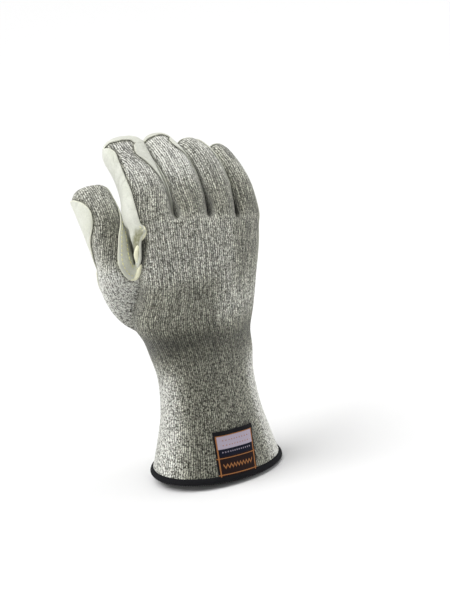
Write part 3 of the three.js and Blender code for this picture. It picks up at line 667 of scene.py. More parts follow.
def thicken(points, normals, faces, uv, inner, outer, edge=0.0, press=1.0):
    """A closed shell of chosen faces: an outer and an inner sheet, and a rounded wall along the border.

    A point goes out along its normal by its sheet's distance. The wall's rings go from the outer sheet to
    the inner one on half an ellipse, edge mm out past the border. Returns points, faces, uv, source points.
    """
    used = np.unique(faces[faces >= 0])
    count = len(used)
    number = np.full(len(points) + 1, -1)
    number[used] = np.arange(count)
    faces = number[faces]
    p, n = points[used], normals[used]
    outward = (inner + (outer - inner) * np.broadcast_to(press, (len(points), 1)))[used]
    start, stop = border_edges(faces)
    side = unit(np.cross(p[stop] - p[start], n[start] + n[stop]))
    away = unit(sum_at(join([start, stop]), join([side, side]), count))
    order = np.where(faces[:, 3:] >= 0, [3, 2, 1, 0], [2, 1, 0, 3])
    flip = np.take_along_axis(faces, order, 1)
    solid_faces = [faces, np.where(flip >= 0, flip + count, -1)]
    solid_uv = [uv, np.take_along_axis(uv, order[..., None], 1)]
    rim = np.unique(join([start, stop]))
    place = np.full(count, -1)
    place[rim] = np.arange(len(rim))
    turns = np.linspace(0, np.pi, 6 if edge else 2)[1:-1]
    middle, half = (outward[rim] + inner) / 2, (outward[rim] - inner) / 2
    extra = [p[rim] + n[rim] * (middle + half * np.cos(t)) + away[rim] * edge * np.sin(t) for t in turns]
    level = [np.arange(count)] + [2 * count + i * len(rim) + place for i in range(len(turns))]
    level.append(np.arange(count) + count)
    corner_uv = np.zeros((count, 2))
    corner_uv[faces[faces >= 0]] = uv[faces >= 0]
    for high, low in zip(level, level[1:]):
        solid_faces.append(np.stack([high[start], low[start], low[stop], high[stop]], 1))
        solid_uv.append(corner_uv[np.stack([start, start, stop, stop], 1)])
    source = join([used, used] + [used[rim]] * len(turns))
    return join([p + n * outward, p + n * inner] + extra), join(solid_faces), join(solid_uv), source


def add_object(name, data):
    """A new object in the scene, at the origin."""
    thing = bpy.data.objects.new(name, data)
    bpy.context.scene.collection.objects.link(thing)
    return thing


def put_mesh(name, points, faces, material, uv=None, marks=None):
    """A mesh object from points in mm and faces of three or four corners, at the origin."""
    corners, _, counts = corners_of(faces)
    uv = np.zeros((len(faces), 4, 2)) if uv is None else uv
    mesh = bpy.data.meshes.new(name)
    for owner, count, key, values in [
            (mesh.vertices, len(points), "co", (points * MM).astype(np.float32)),
            (mesh.loops, len(corners), "vertex_index", corners.astype(np.int32)),
            (mesh.polygons, len(counts), "loop_start", (np.cumsum(counts) - counts).astype(np.int32))]:
        owner.add(count)
        owner.foreach_set(key, values.reshape(-1))
    mesh.polygons.foreach_set("use_smooth", np.ones(len(counts), bool))
    layer = mesh.uv_layers.new(name="stitch")
    layer.data.foreach_set("uv", uv[faces >= 0].astype(np.float32).reshape(-1))
    for key, values in (marks or {}).items():
        mesh.attributes.new(key, "FLOAT", "POINT").data.foreach_set("value", values.astype(np.float32))
    mesh.update(calc_edges=True)
    if mesh.validate():
        raise RuntimeError(f"the mesh of {name} had faults")
    mesh.materials.append(material)
    return add_object(name, mesh)


def put_piece(name, slot, node, *form):
    """A piece of the glove: its finish, and the construction node it stands for, if there is one."""
    piece = put_mesh(name, *form)
    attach(piece, "root")
    if node:
        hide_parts(node)


def painted_knit_shading(net):
    """How pale the knit is painted at each point of the net: painted shade where shade falls on the hand,
    painted light where light falls.

    Along the leather's edges it is darker by exp(-d^2) of the distance d: a painted contact shadow.
    """
    tone = np.ones(len(net.points))
    hand, hand_row, hand_col = net.places("hand")
    z = net.points[hand, 2]
    for amount, heights, turn, cols in HAND_TONES:
        tone[hand] *= 1 + amount * band(z, *heights) * band((hand_col + turn) % RING, *cols)
    for zone, (low, high) in FINGER_TONES.items():
        ids, row, col = net.places(zone)
        values = low + (high - low) * soft((row - 2.2) / 4)
        root = 0.8
        if zone == "thumb":
            root = 0.75 + 0.85 * band(col, 0.9, 6.5, 1.2)
            values = values + 0.25 * soft((row - 7) / 2)
            for amount, rows, turn, cols in THUMB_TONES:
                values = values * (1 + amount * band(row, *rows) * band((col + turn) % TUBE, *cols))
        start = soft(row / 2)
        tone[ids] = np.where(row < 0.1, tone[ids], root * (1 - start) + values * start)
    tone = even_out(tone[:, None], net.faces, 1.0, 12)[:, 0]
    # A painted contact shadow along the leather's edges
    borders = [border_points(points, faces) for points, _, faces, *_ in (palm_sheet(net), thumb_sheet(net))]
    tone = tone * (1 - SEAM_SHADOW * bell(nearest_distance(net.points, join(borders)), 0, SEAM_SHADOW_WIDE))
    # A painted shadow in the gap beside the crotch's flap
    tone[hand] *= 1 - 0.75 * band(hand_row, 12.2, 13.7, 0.4) * band((hand_col + 10) % RING, 10.1, 10.8, 0.3)
    return tone


def finger_calm(net):
    """How fine and even the knit is at each point: coarse on the cuff, finer up the hand and the fingers."""
    calm = 0.1 + 0.5 * soft((net.points[:, 2] - 60) / 50)
    for zone in FINGERS:
        ids, row, _ = net.places(zone)
        calm[ids] += 0.4 * soft((row - 1.5) / 3)
    return calm


def thumb_root_plain(net):
    """How far the stitches' lines fade into flecks: at the thumb's root, where its wales meet the hand's."""
    plain = np.zeros(len(net.points))
    ids, row, col = net.places("hand")
    plain[ids] = 0.8 * band(row, THUMB_FROM, THUMB_TO, 1) * band((col + 10) % RING, 7, 10, 2)
    ids, row, _ = net.places("thumb")
    plain[ids] = 0.8 * (1 - soft((row - 1.6) / 2.6))
    return plain


def palm_sheet(net):
    """The palm facing: palm of the hand, palm and sides of the fingers, and their tips.

    Its leather is slid along the net's rings to its borders: a column moves by the border's shift there,
    times a smooth fall from the border over BORDER_REACH. Returns points, normals, faces, stitch places,
    press, and how much painted shade each point takes: from its dent in a fold, and in the fold under the
    index finger.
    """
    sheet = {key: getattr(net, key).copy() for key in ("points", "normals", "press")}
    for zone, sides in BORDERS.items():
        ids, row, col = net.places(zone)
        far, near = [curve(BORDER_ROWS, sides[side], row) for side in ("far", "near")]
        on_back = near + (far - near) * col / BACK_COLS
        by_far, by_near = [soft(1 - gap / BORDER_REACH) for gap in (col - BACK_COLS, TUBE - col)]
        slid = (col + np.where(col <= BACK_COLS, on_back, far * by_far + near * by_near)) % TUBE
        for key, values in sheet.items():
            values[ids] = net.spot(zone, row, slid, key)
    ids = net.grids["hand"][THUMB_TO * FINE:, THUMB_SIDE * FINE:]
    row, col = np.indices(ids.shape) / FINE
    row, from_edge = row + THUMB_TO, RING - THUMB_SIDE - col
    slid = (RING - from_edge + curve(*HAND_BORDER, row) * soft(1 - from_edge / BORDER_REACH)) % RING
    for key in ("points", "normals"):
        sheet[key][ids] = net.spot("hand", row, slid, key)
    sheet["press"][ids, 0] = 1 + 0.9 * bell(from_edge, 0, 0.5) * band(row, 12.4, 14.2, 0.6)
    # Painted shade in the palm's folds, by their dents, and in the fold beside the flap under the index
    # finger
    crease = np.clip(net.dent[:, 0] / 3.2, 0, 0.5)
    ids, row, col = net.places("hand")
    crease[ids] += band(row, 13.2, 14.3, 0.7) * band(col, RING - 0.75, RING - 0.05, 0.4)

    def wanted(zone, row, col):
        if zone == "thumb":
            return False
        if zone == "hand":
            beside_thumb = (row < THUMB_TO) & (col >= THUMB_SIDE)
            return (row >= LEATHER_FROM) & (col >= 4 * BACK_COLS + 1) & ~beside_thumb
        return (row >= TIP_RING[zone]) | (col >= BACK_COLS + (zone == "little"))

    return sheet["points"], unit(sheet["normals"]), *net.choose(wanted), sheet["press"], crease


def thumb_limits(row):
    """First and last column of the thumb's leather at each row, on smooth curves up the thumb."""
    return curve(*THUMB_FIRST, row), curve(*THUMB_LAST, row)


def thumb_sheet(net):
    """The same for the thumb's facing: a grid between its limits, with painted shade from its inner edge
    inwards on its lower rows.
    """
    row = np.arange((len(THUMB_RINGS) - 1) * FINE + 1)[:, None] / FINE
    first, last = thumb_limits(row)
    share = np.linspace(0, 1, 11 * FINE + 1)
    cols = first + (last - first) * share
    curl = 1 + 1.1 * bell(share, 0, 0.07) * bell(row, 0, 1.6)
    press = np.append(net.spot("thumb", row, cols, "press")[..., 0] * curl, 1)[:, None]
    crease = 0.3 * soft((share - 0.05) / 0.16) * (1 - soft((share - 0.6) / 0.2)) * (1 - soft((row - 5.5) / 2))
    top = net.grids["thumb"].max() + 1
    points, normals = [join([part.reshape(-1, 3), values[[top]]]) for part, values in
                       zip(net.surface("thumb", row, cols), (net.points, net.normals))]
    ids = numbers(*cols.shape)
    faces = join([grid_faces(ids), fan(ids[-1, :-1], ids[-1, 1:], cols.size)])
    return points, normals, faces, np.zeros((len(faces), 4, 2)), press, np.append(crease, 0)


def sheet_of(points):
    """A grid of points as a sheet: its points in a row, their normals, and its faces."""
    faces = grid_faces(numbers(*points.shape[:2]))
    flat = points.reshape(-1, 3)
    return flat, point_normals(flat, faces), faces


def web_sheet(net):
    """The thumb's web: straight lines from the thumb's inner side to the hand's, sagging as a parabola."""
    rise, t = np.linspace(0, 1, 31), np.linspace(0, 1, 17)[:, None]
    up = THUMB_TO + WEB_ROWS[0] * rise
    thumb_line = net.spot("thumb", WEB_ROWS[1] * rise, PALM_COL - 0.6)
    on_hand = net.spot("hand", np.minimum(up, HAND_TOP), THUMB_SIDE + 0.5)
    on_index = net.spot("index", np.maximum(up - HAND_TOP, 0), NEAR_COL + 0.5)
    hand_line = np.where(up[:, None] <= HAND_TOP, on_hand, on_index)
    points = thumb_line[:, None] * (1 - t) + hand_line[:, None] * t
    points = points - np.array([0, 0, WEB_SAG]) * (4 * t * (1 - t) * rise[:, None, None])
    flat, normals, faces = sheet_of(points)
    return flat, normals, faces, np.zeros((len(faces), 4, 2)), 1.0, np.zeros(len(flat))


def roll(points, normals, radius):
    """A rolled edge of leather along a line: round, its radius r sin(pi s)^0.6, closed at both ends."""
    count, around = len(points), 14
    way = unit(np.gradient(points, axis=0))
    aside = unit(np.cross(normals, way))
    up = np.cross(way, aside)
    size = (radius * np.sin(np.pi * np.clip(np.linspace(0, 1, count), 0.004, 0.996)) ** 0.6)[:, None]
    turn = np.arange(around) * 2 * np.pi / around
    middle = points + normals * (size * 0.45 + LEATHER_LIFT)
    rings = (middle[:, None] + aside[:, None] * (size * np.cos(turn))[..., None]
             + up[:, None] * (size * np.sin(turn))[..., None])
    ids = closed(numbers(count, around))
    faces = [grid_faces(ids)[:, ::-1], fan(ids[0, 1:], ids[0, :-1], count * around),
             fan(ids[-1, :-1], ids[-1, 1:], count * around + 1)]
    return join([rings.reshape(-1, 3), middle[:1], middle[-1:]]), join(faces)


def crotch_rolls(net):
    """The curled lip at the bottom of the thumb's leather, and the narrow flap beside it up to the tab."""
    t = np.linspace(0, 1, 24)
    low = net.surface("thumb", 2.1 * (1 - t), 2.95 + 0.65 * t**1.5)
    high = net.surface("hand", 11.6 + 0.6 * t, 0.15 + 0.35 * t)
    lip, up = [even_line(join(pair)) for pair in zip(low, high)]
    flap = net.surface("hand", 13.75 - 1.6 * t, (RING + 0.12 - 0.2 * np.sin(np.pi * t)) % RING)
    tab = net.surface("hand", 14.95 - 1.2 * t, 0.05 + 0.5 * np.sin(np.pi * t) ** 0.7)
    return {"crotch_lip": roll(lip, unit(up), 1.6), "crotch_flap": roll(*flap, 2.1),
            "crotch_tab": roll(*tab, 1.0)}


def even_line(values, rounds=20):
    """A line smoothed along its length: each inner value moves to its neighbours' mean, so many times."""
    for _ in range(rounds):
        values = join([values[:1], (values[:-2] + 2 * values[1:-1] + values[2:]) / 4, values[-1:]])
    return values


def border_points(points, faces):
    """The points on the border of an open sheet."""
    return points[np.unique(border_edges(faces)[0])]


def nearest_distance(points, others):
    """Distance of each point to the nearest of the others, in mm."""
    parts = np.array_split(points, max(len(points) // 1000, 1))
    square = (others**2).sum(1)
    near = [((part**2).sum(1)[:, None] + square - 2 * part @ others.T).min(1) for part in parts]
    return np.sqrt(np.maximum(join(near), 0))


class Wire:
    """A shader node's output; sums, products, powers and a | b (the larger) add Math nodes to its tree."""

    def __init__(self, node, output=0):
        self.node = node
        self.output = output

    def math(self, operation, *others):
        """A Math node with this wire first."""
        inputs = dict(enumerate((self, *others)))
        return add_node(self.node.id_data, "ShaderNodeMath", inputs, operation=operation)

    def __add__(self, other):
        return self.math("ADD", other)

    def __sub__(self, other):
        return self.math("SUBTRACT", other)

    def __rsub__(self, other):
        return self.math("MULTIPLY_ADD", -1.0, other)

    def __mul__(self, other):
        return self.math("MULTIPLY", other)

    def __pow__(self, other):
        return self.math("POWER", other)

    def __or__(self, other):
        return self.math("MAXIMUM", other)

    def __abs__(self):
        return self.math("ABSOLUTE")


def add_node(tree, kind, inputs=None, output=0, **settings):
    """Adds a shader node, sets its options and its inputs, which may be wires, and gives its output."""
    node = tree.nodes.new(kind)
    for key, value in settings.items():
        setattr(node, key, value)
    for key, value in (inputs or {}).items():
        if isinstance(value, Wire):
            tree.links.new(value.node.outputs[value.output], node.inputs[key])
        else:
            node.inputs[key].default_value = value
    return Wire(node, output)


def noise(tree, place, scale, detail, distortion=0.0):
    """A Noise Texture's value."""
    inputs = {"Vector": place, "Scale": scale, "Detail": detail, "Distortion": distortion}
    return add_node(tree, "ShaderNodeTexNoise", inputs)


def attribute(tree, name):
    """A number kept with the mesh's points."""
    return add_node(tree, "ShaderNodeAttribute", None, "Fac", attribute_name=name)


def stitch_place(tree):
    """The place in the stitch layer, and its two numbers."""
    place = add_node(tree, "ShaderNodeUVMap", uv_map="stitch")
    split = add_node(tree, "ShaderNodeSeparateXYZ", {"Vector": place}).node
    return place, Wire(split, 0), Wire(split, 1)


def ramp(tree, factor, stops):
    """A colour ramp; stops are pairs of a place and a colour."""
    wire = add_node(tree, "ShaderNodeValToRGB", {"Fac": factor})
    elements = wire.node.color_ramp.elements
    for place, _ in stops[1:-1]:
        elements.new(place)
    for element, (place, colour) in zip(elements, stops):
        element.position = place
        element.color = colour
    return wire


def blend(tree, factor, a, b, kind="MIX"):
    """A Mix Color node, whose factor and two colours are its inputs 0, 6 and 7."""
    return add_node(tree, "ShaderNodeMix", {0: factor, 6: a, 7: b}, 2, data_type="RGBA", blend_type=kind)


def opaque(colour, shade=1.0):
    """A colour times a shade, with full alpha."""
    return (*(np.array(colour) * shade), 1.0)


def new_material(name, roughness, sheen, specular=0.3):
    """A material with an empty shader tree but for its shader and output, and that tree."""
    material = bpy.data.materials.new(name)
    material.use_nodes = True
    tree = material.node_tree
    tree.nodes.clear()
    shader = add_node(tree, "ShaderNodeBsdfPrincipled", {
        "Roughness": roughness, "Sheen Weight": sheen, "Sheen Roughness": 0.5,
        "Specular IOR Level": specular})
    add_node(tree, "ShaderNodeOutputMaterial", {"Surface": shader})
    return material, tree


def finish(material, colour, relief, strength, distance):
    """Gives a material's shader its colour and its relief, whose full height is the distance."""
    tree = material.node_tree
    bump = add_node(tree, "ShaderNodeBump", {"Height": relief, "Strength": strength, "Distance": distance})
    shader = tree.nodes["Principled BSDF"]
    tree.links.new(colour.node.outputs[colour.output], shader.inputs["Base Color"])
    tree.links.new(bump.node.outputs[0], shader.inputs["Normal"])
    return material


def knit_material(settings):
    """Plain knit in salt-and-pepper yarn: two leaning legs to a stitch, each leg its own tone, with painted
    shade in its hollows and the painted light and shade of the tone attribute.
    """
    material, tree = new_material("salt_and_pepper_knit", 0.92, 0.35)
    place, u, v = stitch_place(tree)
    wander = noise(tree, place, 0.22, 2.0)
    u, v = u + wander * 0.9, v - wander * 0.7
    across = u.math("FRACT")
    off = abs(across * 2.0 - 1.0)
    up = v - off * 0.55
    leg = (up.math("FRACT") * np.pi).math("SINE") ** 0.5
    strand = 1.0 - off**2.2 * 0.97 - (1.0 - off) ** 6.0 * 0.12
    height = (leg * 0.5 + 0.5) * strand
    right = across.math("GREATER_THAN", 0.5)
    cell = add_node(tree, "ShaderNodeCombineXYZ", {"X": u.math("FLOOR") * 2.0 + right, "Y": up.math("FLOOR")})
    tone = add_node(tree, "ShaderNodeTexWhiteNoise", {"Vector": cell}, noise_dimensions="2D")
    solid = add_node(tree, "ShaderNodeTexCoord", None, "Object")
    # The tone attribute is painted light and shade: it darkens the yarn where shade falls on the hand and
    # pales it where light falls
    painted_light_shade, calm, plain = [attribute(tree, name) for name in ("tone", "calm", "plain")]
    shown = 1.0 - plain
    fibre = noise(tree, solid, 1350.0, 2.0) * calm + noise(tree, solid, 850.0, 2.0) * (1.0 - calm)
    # Where the painted light is high, the flecks are calmer and the yarn paler
    even = (1.55 - painted_light_shade * 0.5).math("MINIMUM", 1.0) | 0.6
    flecks = (fibre - 0.5) * ((plain * 2.0 + 2.7 - calm) * even)
    mixed = tone * 0.45 + ((painted_light_shade | 1.0) * 0.22 + 0.13) + flecks
    dark, light = np.array(settings.dark), np.array(settings.light)
    stops = [(0.15, opaque(dark)), (0.5, opaque(dark * 0.65 + light * 0.35)), (0.85, opaque(light))]
    # Painted shade in the stitches' hollows: dark between the legs and in the grooves between the wales, made
    # plain at the thumb's root
    deep = (height * 1.15 + 0.05) * shown + plain * 0.62
    # The painted light and shade scale the yarn's colour here, with a slow random mottle
    tint = (noise(tree, solid, 45.0, 3.0) * 0.35 + 0.83) * painted_light_shade
    along = add_node(tree, "ShaderNodeCombineXYZ", {"X": u, "Y": v * 0.06})
    lines = add_node(tree, "ShaderNodeMapRange", {
        "Value": noise(tree, along, 1.0, 1.0),
        "From Min": 0.4, "From Max": 0.65, "To Min": 1.18, "To Max": 0.5})
    lined = (lines - 1.0) * ((calm * 0.6 + 0.4) * shown) + 1.0
    yarn = ramp(tree, mixed, stops)
    # Painted shade turns olive where the tone is low
    warm = (1.2 - painted_light_shade) * 1.1
    yarn = blend(tree, warm, yarn, blend(tree, 1.0, yarn, (1, 1, 0.84, 1), "MULTIPLY"))
    yarn = blend(tree, 1.0, yarn, deep * tint * lined, "MULTIPLY")
    colour = blend(tree, 1.0, yarn, (0.92, 0.92, 0.86, 1), "DARKEN")
    return finish(material, colour, fibre * 0.25 + height, 0.8, 0.0006)


def leather_material(name, cream, warm, rim):
    """Cream split leather: a soft mottled nap, painted shade, dark and greenish, in its folds, cut edges a
    little yellow.
    """
    material, tree = new_material(name, 0.88, 0.3)
    solid = add_node(tree, "ShaderNodeTexCoord", None, "Object")
    cloud, nap = noise(tree, solid, 60.0, 4.0), noise(tree, solid, 900.0, 4.0)
    colour = blend(tree, cloud, opaque(cream), opaque(cream, (0.9, 0.92, warm)))
    colour = blend(tree, 1.0, colour, nap * 0.3 + 0.85, "MULTIPLY")
    # Painted shade in the folds, olive and broken up by noise
    fold_shade_amount = attribute(tree, "crease") * (noise(tree, solid, 420.0, 3.0) * 1.6 + 0.1)
    colour = blend(tree, fold_shade_amount, colour, (0.2, 0.2, 0.11, 1))
    cut = (1.0 - attribute(tree, "edge")) | 0.0
    colour = blend(tree, cut * rim, colour, (0.9, 0.88, 0.62, 1))
    ridge = abs(noise(tree, solid, 42.0, 3.0, 1.2) * 2.0 - 1.0)
    wrinkle = (ridge * 4.0).math("MINIMUM", 1.0) ** 0.5
    return finish(material, colour, nap * 0.4 + cloud + wrinkle * 0.9, 0.5, 0.0012)


def thread_material(settings):
    """Yellow sewing thread: slanted plies along each stitch, with painted shade in the grooves between them.
    """
    material, tree = new_material("yellow_thread", 0.55, 0.1)
    _, u, v = stitch_place(tree)
    ply = ((u + v).math("FRACT") * np.pi).math("SINE")
    # Painted shade in the grooves between the plies
    colour = blend(tree, ply, opaque(settings.colour, (0.55, 0.55, 0.5)), opaque(settings.colour))
    return finish(material, colour, ply, 0.6, 0.0002)


def hem_material(settings):
    """Black overlock yarn: strands across the edge, dull and a little dusty on top."""
    material, tree = new_material("black_overlock", 0.9, 0.04, 0.1)
    fuzz = noise(tree, add_node(tree, "ShaderNodeTexCoord", None, "Object"), 1500.0, 3.0)
    colour = blend(tree, fuzz, opaque(settings.colour), opaque(settings.colour, 2.5))
    return finish(material, colour, fuzz, 0.7, 0.0004)


def label_material(settings):
    """Woven label: bands of satin in the order of its height, ruled off by copper lines, no lettering."""
    material, tree = new_material("woven_label", 0.7, 0.03, 0.1)
    place, u, v = stitch_place(tree)
    lilac, navy, brown, copper = [
        opaque(colour) for colour in (settings.panel, settings.band, settings.ground, settings.copper)]
    black = (0.008, 0.008, 0.01, 1)
    bands = ramp(tree, v, [(0.0, brown), (0.44, navy), (0.6, lilac), (0.885, copper), (0.91, black)])
    bands.node.color_ramp.interpolation = "CONSTANT"

    def line(value, middle, half):
        """1 where a value lies within half of the middle."""
        return abs(value - middle).math("LESS_THAN", half)

    def dashes(count, half):
        """So many dashes across the label, each with half its width as a share of the step."""
        return line((u * count).math("FRACT"), 0.5, half)

    rims = line(u, 0.045, 0.014) | line(u, 0.955, 0.014) | line(v, 0.04, 0.011) | line(v, 0.4, 0.009)
    inner = line(u, 0.5, 0.38)
    wave = line(v - (u * 12.0).math("PINGPONG", 0.5) * 0.16, 0.18, 0.022)
    marks = rims * v.math("LESS_THAN", 0.9) | wave * inner
    side = abs(u - 0.5).math("GREATER_THAN", 0.455)
    colour = blend(tree, marks, blend(tree, side, bands, black), copper)
    dots = dashes(14.0, 0.22) * (line(v, 0.68, 0.013) | line(v, 0.79, 0.013))
    colour = blend(tree, dots * inner * 0.7, colour, copper)
    ticks = dashes(17.0, 0.26) * line(v, 0.53, 0.015)
    colour = blend(tree, ticks * inner * 0.6, colour, lilac)
    weave = add_node(tree, "ShaderNodeTexWave", {"Vector": place, "Scale": 26.0, "Distortion": 0.0}, "Fac",
                     bands_direction="DIAGONAL")
    # Painted shade between the weave's ridges and a painted highlight on them
    colour = blend(tree, 1.0, colour, weave * 0.3 + 0.8, "MULTIPLY")
    return finish(material, colour, weave, 0.4, 0.0002)


def lie_along(points, normals, pitch):
    """Places at even steps along a line on a surface: middles, ways along, ways up."""
    arc = arc_of(points)
    at = np.arange(0.5 * pitch, arc[-1] - 0.3 * pitch, pitch)

    def take(values, s):
        return np.stack([np.interp(s, arc, column) for column in values.T], 1)

    way = unit(take(points, np.minimum(at + 0.4, arc[-1])) - take(points, np.maximum(at - 0.4, 0)))
    up = take(normals, at)
    return take(points, at), way, unit(up - way * (up * way).sum(1, keepdims=True))


def seam_lines(net, pitch):
    """Lines of stitches, mostly in double rows, along the borders of the leather."""
    long, short = np.linspace(0.3, 7.0, 120), np.linspace(0.4, 4.0, 80)
    first, last = thumb_limits(long)[0], thumb_limits(short)[1]
    across = np.linspace(4 * BACK_COLS + 1.3, THUMB_SIDE - 0.2, 240)
    beside = np.linspace(12.4, 14.9, 60)
    lines = []
    for zone, rows, cols in [
            ("thumb", long, first + 0.28), ("thumb", long, first + 0.9),
            ("thumb", short, last - 0.35), ("thumb", short, last - 0.9),
            ("hand", np.linspace(LEATHER_FROM, HAND_TOP, 160), 4 * BACK_COLS + 1.35),
            ("hand", LEATHER_FROM + 0.22, across), ("hand", LEATHER_FROM + 0.5, across),
            ("hand", np.linspace(THUMB_FROM, THUMB_TO, 80), THUMB_SIDE - 0.3),
            ("hand", beside, (RING - 0.28 + curve(*HAND_BORDER, beside)) % RING),
            ("hand", np.linspace(14.1, 14.7, 10), np.linspace(0.1, 0.35, 10))]:
        points, normals = net.surface(zone, rows, cols)
        lines.append(lie_along(points + normals * LEATHER_TOP, normals, pitch))
    return lines


def stitch_beads(lines, length, radius):
    """Stitches along lines: each a bead of round section r = R sqrt(1 - x^4), its ends bent into the hide."""
    sides, steps = 6, 6
    x = -np.cos(np.linspace(0, np.pi, steps + 1))[1:-1, None]
    turn = np.arange(sides) * 2 * np.pi / sides
    thick = radius * np.sqrt(1 - x**4)
    rings = [x * length / 2 + 0 * turn, thick * np.cos(turn), thick * np.sin(turn) - radius * 0.9 * x**4]
    ends = [[-length / 2, 0, -radius], [length / 2, 0, -radius]]
    body = join([np.stack(rings, -1).reshape(-1, 3), ends])
    ids = closed(numbers(steps - 1, sides))
    one = join([grid_faces(ids)[:, ::-1], fan(ids[0, :-1], ids[0, 1:], len(body) - 2),
                fan(ids[-1, 1:], ids[-1, :-1], len(body) - 1)])
    spots, ways, ups = [join(part)[:, None] for part in zip(*lines)]
    points = spots + ways * body[:, :1] + np.cross(ups, ways) * body[:, 1:2] + ups * body[:, 2:]
    shift = (np.arange(len(spots)) * len(body))[:, None, None]
    faces = np.where(one >= 0, one + shift, -1).reshape(-1, 4)
    plies = np.stack([body[:, 0] / (3.5 * radius), np.arctan2(body[:, 2], body[:, 1]) / np.pi], 1)
    return points.reshape(-1, 3), faces, np.tile(plies[one], (len(spots), 1, 1))


_made = {}


def glove_net():
    """The net of the glove, worked out once from the knit's settings."""
    if "net" not in _made:
        knit = bpy.context.scene.glove_knit
        _made["net"] = make_net(knit.wales, knit.course / MM)
    return _made["net"]


def length(name, description, default):
    """A setting that is a length in metres."""
    return bpy.props.FloatProperty(
        name=name, description=description, default=default, unit="LENGTH", precision=5)


def colour(name, description, default):
    """A setting that is a colour."""
    return bpy.props.FloatVectorProperty(name=name, description=description, subtype="COLOR", default=default)


class GloveKnitSettings(bpy.types.PropertyGroup):
    """Sizes and colours of the knitted liner."""

    wales: bpy.props.IntProperty(name="Wales", description="Columns of stitches round the hand", default=140)
    course: length("Course", "Height of one row of stitches", 0.00125)
    dark: colour("Dark yarn", "Colour of the dark yarn", (0.038, 0.038, 0.02))
    light: colour("Light yarn", "Colour of the light yarn", (1.0, 1.0, 0.92))


class GloveLeatherSettings(bpy.types.PropertyGroup):
    """Colour of the leather facings."""

    cream: colour("Leather", "Colour of the split leather", (0.64, 0.645, 0.6))


class GloveThreadSettings(bpy.types.PropertyGroup):
    """Sizes and colour of the sewing thread."""

    pitch: length("Pitch", "Distance from stitch to stitch", 0.003)
    length: length("Stitch", "Length of one stitch", 0.0024)
    radius: length("Radius", "Half the thread's thickness", 0.00036)
    colour: colour("Thread", "Colour of the thread", (0.9, 0.86, 0.47))


class GloveTrimSettings(bpy.types.PropertyGroup):
    """Colours of the hem binding and the label, and the spacing of the hem's yarn."""

    strand: length("Strand", "Spacing of the hem's strands", 0.0012)
    panel: colour("Panel", "Upper panel of the label", (0.5, 0.44, 0.54))
    band: colour("Band", "Band across the label", (0.006, 0.008, 0.02))
    ground: colour("Ground", "Lower panel of the label", (0.02, 0.009, 0.008))
    copper: colour("Copper", "Copper-coloured thread of the label", (0.4, 0.17, 0.06))
    colour: colour("Hem", "Colour of the overlock yarn", (0.006, 0.006, 0.007))


class GloveStudioSettings(bpy.types.PropertyGroup):
    """Light and camera of the studio."""

    distance: length("Camera distance", "From the camera to the glove's middle", 1.05)
    key: bpy.props.FloatProperty(name="Key light", description="Strength of the main light", default=2.25)
    side: bpy.props.FloatProperty(
        name="Side lights", description="Power of the low lights at the sides", default=4.0, unit="POWER")
    fill: bpy.props.FloatProperty(name="Sky", description="Strength of the light all round", default=0.25)


class GLOVE_OT_knit(bpy.types.Operator):
    """Make the seamless knitted liner"""

    bl_idname = "glove.knit"
    bl_label = "Knitted liner"

    def execute(self, context):
        net = glove_net()
        points, faces, uv, source = thicken(net.points, net.normals, net.faces, net.uv, -KNIT_WALL, 0.0)
        marks = {"tone": painted_knit_shading(net)[source], "calm": finger_calm(net)[source],
                 "plain": thumb_root_plain(net)[source]}
        material = knit_material(context.scene.glove_knit)
        put_piece("knit", "knit", "knit_liner", points, faces, material, uv, marks)
        return {"FINISHED"}


class GLOVE_OT_leather(bpy.types.Operator):
    """Make the leather facings of the palm and the thumb"""

    bl_idname = "glove.leather"
    bl_label = "Leather facings"

    def execute(self, context):
        net = glove_net()
        cream = context.scene.glove_leather.cream
        facing = (LEATHER_LIFT, LEATHER_TOP, 0.35)
        web = (-LEATHER_THICK / 2, LEATHER_THICK / 2, 0.3)
        # Name, slot, node, sheet, its two faces' distances and its rounding, warmth and yellow of the rim
        for name, slot, node, sheet, limits, warm, rim in [
                ("palm_leather", "leather", "leather_palm", palm_sheet(net), facing, 0.82, 0.08),
                ("thumb_leather", "thumb_leather", "leather_thumb", thumb_sheet(net), facing, 0.8, 0.2),
                ("thumb_web", "thumb_leather", None, web_sheet(net), web, 0.8, 0.2)]:
            points, normals, faces, uv, press, crease = sheet
            edge = nearest_distance(points, border_points(points, faces))
            points, faces, uv, source = thicken(points, normals, faces, uv, *limits, press)
            material = leather_material(name, cream, warm, rim)
            marks = {"edge": edge[source], "crease": crease[source]}
            put_piece(name, slot, node, points, faces, material, uv, marks)
        for name, (points, faces) in crotch_rolls(net).items():
            # The rolls are painted pale yellow all over: the cut edge's own yellow, and a painted highlight
            # on the curls
            material = leather_material(name, cream, 0.8, 1.2)
            marks = {"edge": np.full(len(points), 0.4)}
            put_piece(name, "thumb_leather", None, points, faces, material, None, marks)
        return {"FINISHED"}


class GLOVE_OT_seams(bpy.types.Operator):
    """Sew the leather on with rows of yellow stitches"""

    bl_idname = "glove.seams"
    bl_label = "Sewing"

    def execute(self, context):
        settings = context.scene.glove_thread
        lines = seam_lines(glove_net(), settings.pitch / MM)
        points, faces, uv = stitch_beads(lines, settings.length / MM, settings.radius / MM)
        put_piece("sewing", "leather", None, points, faces, thread_material(settings), uv)
        return {"FINISHED"}


